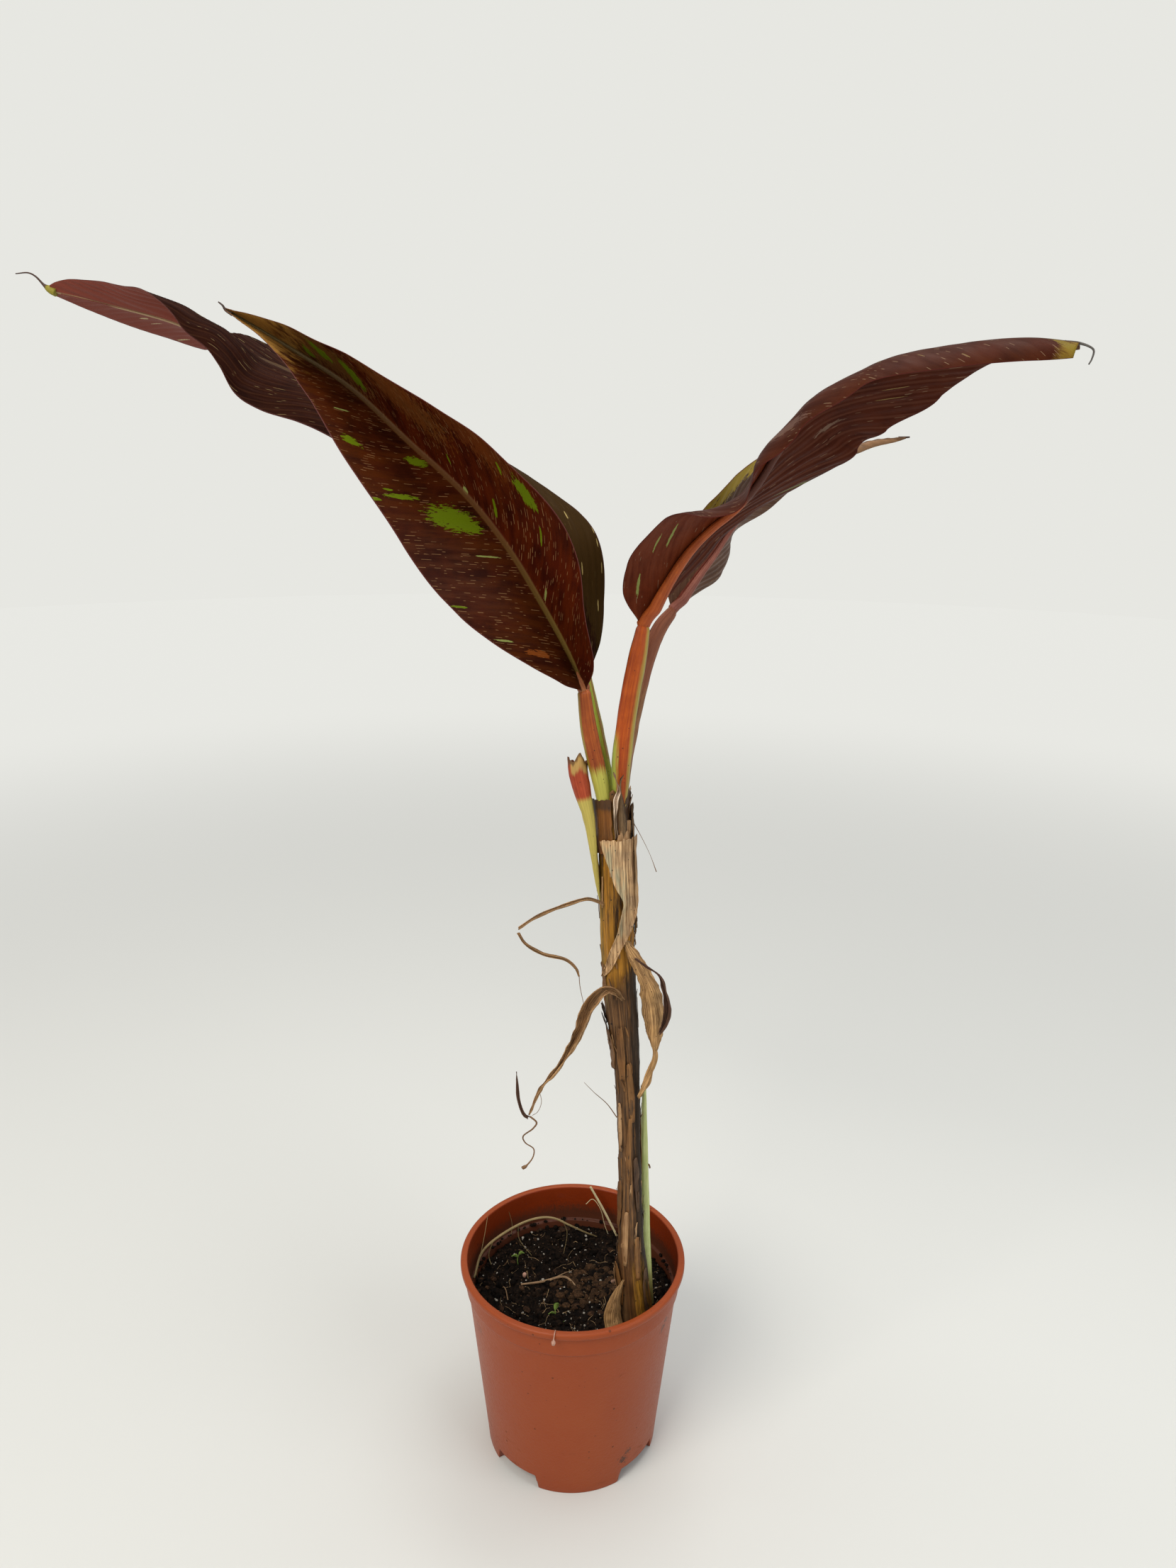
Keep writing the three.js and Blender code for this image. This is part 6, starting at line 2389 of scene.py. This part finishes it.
    def build(self) -> Pieces:
        """Builds and dresses the soil.

        Returns:
            Its pieces.
        """
        mix = SoilFinish()
        bark = SoilFinish(
            dark=(0.02, 0.01, 0.006), mid=(0.11, 0.055, 0.026), pale=(0.24, 0.14, 0.07), grain=1.5)
        moss = SoilFinish(
            dark=(0.03, 0.016, 0.008), mid=(0.13, 0.065, 0.03), pale=(0.24, 0.13, 0.06), grain=1.2)
        stone = SoilFinish(dark=(0.35, 0.31, 0.25), mid=(0.7, 0.66, 0.58), pale=(0.85, 0.82, 0.75), grain=1.0)
        root = FibreFinish(
            dark=(0.16, 0.09, 0.04), mid=(0.32, 0.2, 0.09), light=(0.5, 0.36, 0.19), speck_amount=0)
        return [
            make_piece("soil_surface", self.surface(), [mix.build("potting mix")], ("soil",)),
            make_piece("soil_clods", self.scattered(self.clods, (0.6, 3.8), 0.75, 83, 0.35),
                       [mix.build("clods")]),
            make_piece("soil_bark", self.scattered(200, (0.7, 4.2), 0.5, 85, 0.4),
                       [bark.build("bark bits")]),
            make_piece("soil_moss", self.scattered(430, (0.6, 3.8), 0.6, 91, 0.35, 29, (11.0, 6.0)),
                       [moss.build("mossy clump")]),
            make_piece("soil_wall_crumbs", self.scattered(170, (0.3, 2.2), 0.8, 93, 0.4, 87.6, clear=0.93),
                       [mix.build("wall crumbs")]),
            make_piece("soil_perlite", self.scattered(500, (0.3, 1.2), 0.9, 87, 0.9, 82),
                       [stone.build("perlite")]),
            make_piece("soil_fibres", self.hairs(85, 89), [root.build("fine roots")]),
        ]


@dataclass(frozen=True)
class Sprig:
    """Stems, roots and small leaves of one kind that lie on the soil."""

    name: str
    limbs: tuple[Limb, ...]
    finish: FibreFinish
    leaflets: tuple[tuple[Place, Place, float], ...] = ()

    def leaflet(self, foot: Place, tip: Place, width: float) -> Shell:
        """A small cupped leaf.

        Args:
            foot: Its foot in mm.
            tip: Its tip in mm.
            width: Its largest width in mm.

        Returns:
            The closed shell, with the mark "skin".
        """
        run = np.linspace(0, 1, 16)
        start, end = np.array(foot, float), np.array(tip, float)
        aside = unit(np.cross(end - start, (0.0, 1.0, 0.3)))
        spread = np.linspace(-1, 1, 9)[None, :]
        half = width / 2 * np.sin(np.pi * np.clip(run * 0.94 + 0.04, 0, 1))[:, None] ** 0.8
        back = unit(np.cross(aside, end - start))
        centre = start + (end - start) * run[:, None] + back * (np.sin(np.pi * run) * width * 0.2)[:, None]
        grid = centre[:, None] + aside * (spread * half)[..., None]
        grid = grid + back * (spread**2 * half * 0.35)[..., None]
        skin = places(spread * 0.5, 0.8, run[:, None] * 10)
        return thin_sheet(grid, 0.2, 0.2, {"skin": skin})

    def build(self) -> Pieces:
        """Builds and dresses the sprig.

        Returns:
            Its one piece.
        """
        shells = [limb.tube(60, 10) for limb in self.limbs]
        shells += [self.leaflet(foot, tip, width) for foot, tip, width in self.leaflets]
        return [make_piece(self.name, merged(shells), [self.finish.build(self.name)])]


SPRIGS = (
    Sprig(
        "root_arch",
        (
            Limb(
                (
                    (-86.2, 5, 150.2), (-80.5, 27, 160), (-59.7, 39, 172), (-36, 49.1, 177.5),
                    (-19.4, 50.3, 178), (-3.4, 50.5, 170), (10.2, 58, 157), (24, 76, 137)),
                ((0, 0.9), (0.3, 1.15), (0.7, 0.9), (1, 0.5))),
            Limb(
                ((-72, 32, 166), (-75.7, 33, 150), (-71.2, 28, 141), (-63.7, 22, 137)),
                ((0, 0.5), (1, 0.25))),
            Limb(((-50, 44, 175), (-49, 46, 158), (-38, 48, 139)), ((0, 0.4), (1, 0.25))),
            Limb(((-10, 50.5, 175), (-6, 53, 160), (-9, 52, 138)), ((0, 0.35), (1, 0.2))),
            Limb(
                ((-84.5, 6, 152), (-80.3, 7.9, 172), (-76.8, 13, 190), (-75.1, 23.7, 200)),
                ((0, 0.4), (1, 0.15))),
            Limb(((-60, 62, 137), (-57, 66, 158), (-60, 67, 172)), ((0, 0.35), (1, 0.15)))),
        FibreFinish(
            dark=(0.16, 0.11, 0.04), mid=(0.27, 0.19, 0.08), light=(0.42, 0.32, 0.16), speck_amount=0.3,
            fibre=(0.8, 9))),
    Sprig(
        "straw",
        (
            Limb(((15, 77.8, 191), (28, 74, 167.5), (43, 70, 137)), ((0, 1.0), (0.5, 1.1), (1, 0.9))),
            Limb(
                ((11, 78, 172), (17, 80, 176), (24, 78, 168), (29, 76, 150), (34, 74, 137)),
                ((0, 0.35), (1, 0.3)))),
        FibreFinish(dark=(0.4, 0.3, 0.14), mid=(0.6, 0.5, 0.26), light=(0.75, 0.66, 0.42), speck_amount=0.1)),
    Sprig(
        "twig",
        (
            Limb(
                ((-45.6, 11.3, 138.5), (-27, 13.9, 139.5), (-7.7, 19, 140.5), (0, 12.5, 140), (8, -2, 138)),
                ((0, 0.8), (0.4, 1.1), (1, 0.4))),
            Limb(((-20, 15, 140), (-8, 24, 140), (-1, 30, 138)), ((0, 0.7), (1, 0.3))),
            Limb(((22, 30, 137), (30, 18, 140), (38, 4, 142)), ((0, 0.5), (1, 0.3))),
            Limb(((-56, -6, 137), (-60, 8, 138), (-70, 16, 137.5)), ((0, 0.5), (1, 0.2)))),
        FibreFinish(
            dark=(0.13, 0.07, 0.03), mid=(0.28, 0.16, 0.08), light=(0.42, 0.28, 0.16), speck_amount=0.4,
            fibre=(0.8, 6))),
    Sprig(
        "seedlings",
        (
            Limb(
                ((-13.7, -33.3, 138.5), (1.9, -34.2, 139.5), (17.4, -31.6, 139.5), (30.6, -28.9, 141)),
                ((0, 0.3), (0.3, 1.3), (0.75, 1.1), (1, 0.3))),
            Limb(((-49.7, 37.2, 137), (-50.2, 36.1, 145), (-48.4, 37.7, 150)), ((0, 0.4), (1, 0.3))),
            Limb(((-13.9, -25.1, 137), (-14.6, -22.6, 143)), ((0, 0.4), (1, 0.4)))),
        FibreFinish(
            dark=(0.1, 0.22, 0.03), mid=(0.2, 0.34, 0.06), light=(0.42, 0.48, 0.14), speck_amount=0.1,
            light_share=0.45),
        (
            ((-50, 36, 147), (-55, 32, 151), 4.5), ((-49, 37, 149), (-44, 34, 153), 4),
            ((-14.6, -23, 142), (-12, -24, 150), 4.5), ((-14.5, -24, 139), (-20, -28, 142), 3.5))),
    Sprig(
        "pink_roots",
        (
            Limb(
                (
                    (-12, -88.4, 176), (-12.2, -89.6, 181.2), (-12.4, -92, 183), (-13, -95.6, 182.4),
                    (-13.4, -97, 180), (-13.6, -97.6, 177), (-13.7, -97.8, 175)),
                ((0, 0.3), (0.6, 0.4), (0.78, 0.6), (0.9, 1.8), (1, 1.2))),
            Limb(((-43, 22, 137), (-43, 21, 141), (-42, 20, 142)), ((0, 0.8), (0.6, 1.9), (1, 1.2)))),
        FibreFinish(
            dark=(0.35, 0.16, 0.11), mid=(0.55, 0.3, 0.22), light=(0.7, 0.48, 0.36), speck_amount=0.2)),
    Sprig(
        "leaf_debris", (),
        FibreFinish(
            dark=(0.14, 0.07, 0.05), mid=(0.28, 0.15, 0.1), light=(0.42, 0.26, 0.17), speck_amount=0.4),
        (
            ((33, 2, 144), (39, 7, 148), 6), ((41, -62, 141), (46, -66, 144), 5),
            ((36, -62, 142), (40, -68, 141), 4), ((66, 14, 140), (72, 10, 144), 5),
            ((28, -52, 142), (22, -57, 143), 5))))


# Studio


@dataclass(frozen=True)
class Lamp:
    """A soft rectangular lamp aimed at a point, in metres and watts."""

    name: str
    place: Place
    aim: Place
    size: float
    power: float
    colour: Colour = WHITE

    def build(self) -> None:
        """Puts the lamp in the scene."""
        lamp = bpy.data.lights.new(self.name, "AREA")
        lamp.shape, lamp.size, lamp.energy, lamp.color = "SQUARE", self.size, self.power, self.colour
        obj = bpy.data.objects.new(self.name, lamp)
        bpy.context.scene.collection.objects.link(obj)
        obj.location = self.place
        way = Vector(self.aim) - Vector(self.place)
        obj.rotation_euler = way.to_track_quat("-Z", "Y").to_euler()


@dataclass(frozen=True)
class Studio:
    """Plain pale floor, soft light and the camera at the photograph's angle."""

    camera: Place = (0.0091, -0.8205, 0.8473)
    pitch: float = 16.6
    roll: float = 0.56
    lens: float = 26.04
    floor_radius: float = 6.0
    lamps: tuple[Lamp, ...] = (
        Lamp("key lamp", (-1.3, -1.7, 2.4), (0.0, 0.0, 0.5), 1.6, 60, (1.0, 0.95, 0.88)),
        Lamp("top lamp", (0.2, 0.3, 2.7), (0.0, 0.0, 0.4), 1.8, 34),
        Lamp("fill lamp", (1.8, -1.2, 1.5), (0.0, 0.0, 0.5), 1.6, 16, (0.94, 0.97, 1.0)))
    light: Colour = (0.42, 0.43, 0.43)
    backdrop: Colour = (0.8, 0.8, 0.76)

    def build_floor(self) -> bpy.types.Object:
        """The round floor.

        Returns:
            The floor, marked as stage.
        """
        sides, rings = 96, 5
        turn = np.linspace(0, 2 * np.pi, sides, endpoint=False)
        radius = np.linspace(0.05, 1, rings)[::-1, None] ** 2 * self.floor_radius
        grid = places(radius * np.cos(turn), radius * np.sin(turn), radius * 0)
        shell = closed_tube(np.concatenate([grid[:1] - (0, 0, 0.01), grid]) / MM, {})
        mesh = bpy.data.meshes.new("floor")
        faces = [list(map(int, face)) for part in shell.faces for face in part]
        mesh.from_pydata((shell.points * MM).tolist(), [], faces)
        mesh.materials.append(FloorFinish().build("studio floor"))
        floor = bpy.data.objects.new("floor", mesh)
        bpy.context.scene.collection.objects.link(floor)
        return floor

    def build_camera(self) -> bpy.types.Object:
        """The camera, where the photograph was taken from.

        Returns:
            The camera, which is the scene's own.
        """
        data = bpy.data.cameras.new("camera")
        data.sensor_width, data.lens = 36, self.lens
        data.clip_start, data.clip_end = 0.01, 100
        camera = bpy.data.objects.new("camera", data)
        bpy.context.scene.collection.objects.link(camera)
        tilt, roll = math.radians(self.pitch), math.radians(self.roll)
        forward = Vector((0, math.cos(tilt), -math.sin(tilt)))
        up_level = Vector((0, math.sin(tilt), math.cos(tilt)))
        right = math.cos(roll) * Vector((1, 0, 0)) + math.sin(roll) * up_level
        up = -math.sin(roll) * Vector((1, 0, 0)) + math.cos(roll) * up_level
        turn = Matrix((right, up, -forward)).transposed()
        camera.matrix_world = Matrix.Translation(self.camera) @ turn.to_4x4()
        bpy.context.scene.camera = camera
        return camera

    def build(self) -> None:
        """Builds the floor, lamps, world and camera."""
        self.build_floor()
        for lamp in self.lamps:
            lamp.build()
        world = bpy.data.worlds.new("studio")
        bpy.context.scene.world = world
        world.use_nodes = True
        g = Graph(world.node_tree)
        back = world.node_tree.nodes["Background"]
        seen = g.put("ShaderNodeLightPath").outputs["Is Camera Ray"]
        g.feed(back.inputs["Color"], g.mix(seen, self.light, self.backdrop))
        self.build_camera()
        bpy.context.scene.view_settings.view_transform = "Standard"


def main() -> None:
    """Builds the plant, then the studio."""
    logging.basicConfig(level=logging.INFO, format="%(message)s")
    Studio().build()
    leaves = (LEAF_LEFT_LOWER, LEAF_LEFT_UPPER, LEAF_RIGHT_FRONT, LEAF_RIGHT_BACK)
    for part in (Pot(), Soil(), Trunk(), *STALKS, *leaves, Stump(), *WRAPS, Shreds(TRUNK_SHREDS), *STRIPS,
                 Threads(), *SPRIGS):
        for piece in part.build():
            LOG.info("%s: %d faces", piece.name, len(piece.data.polygons))


if __name__ == "__main__":
    main()
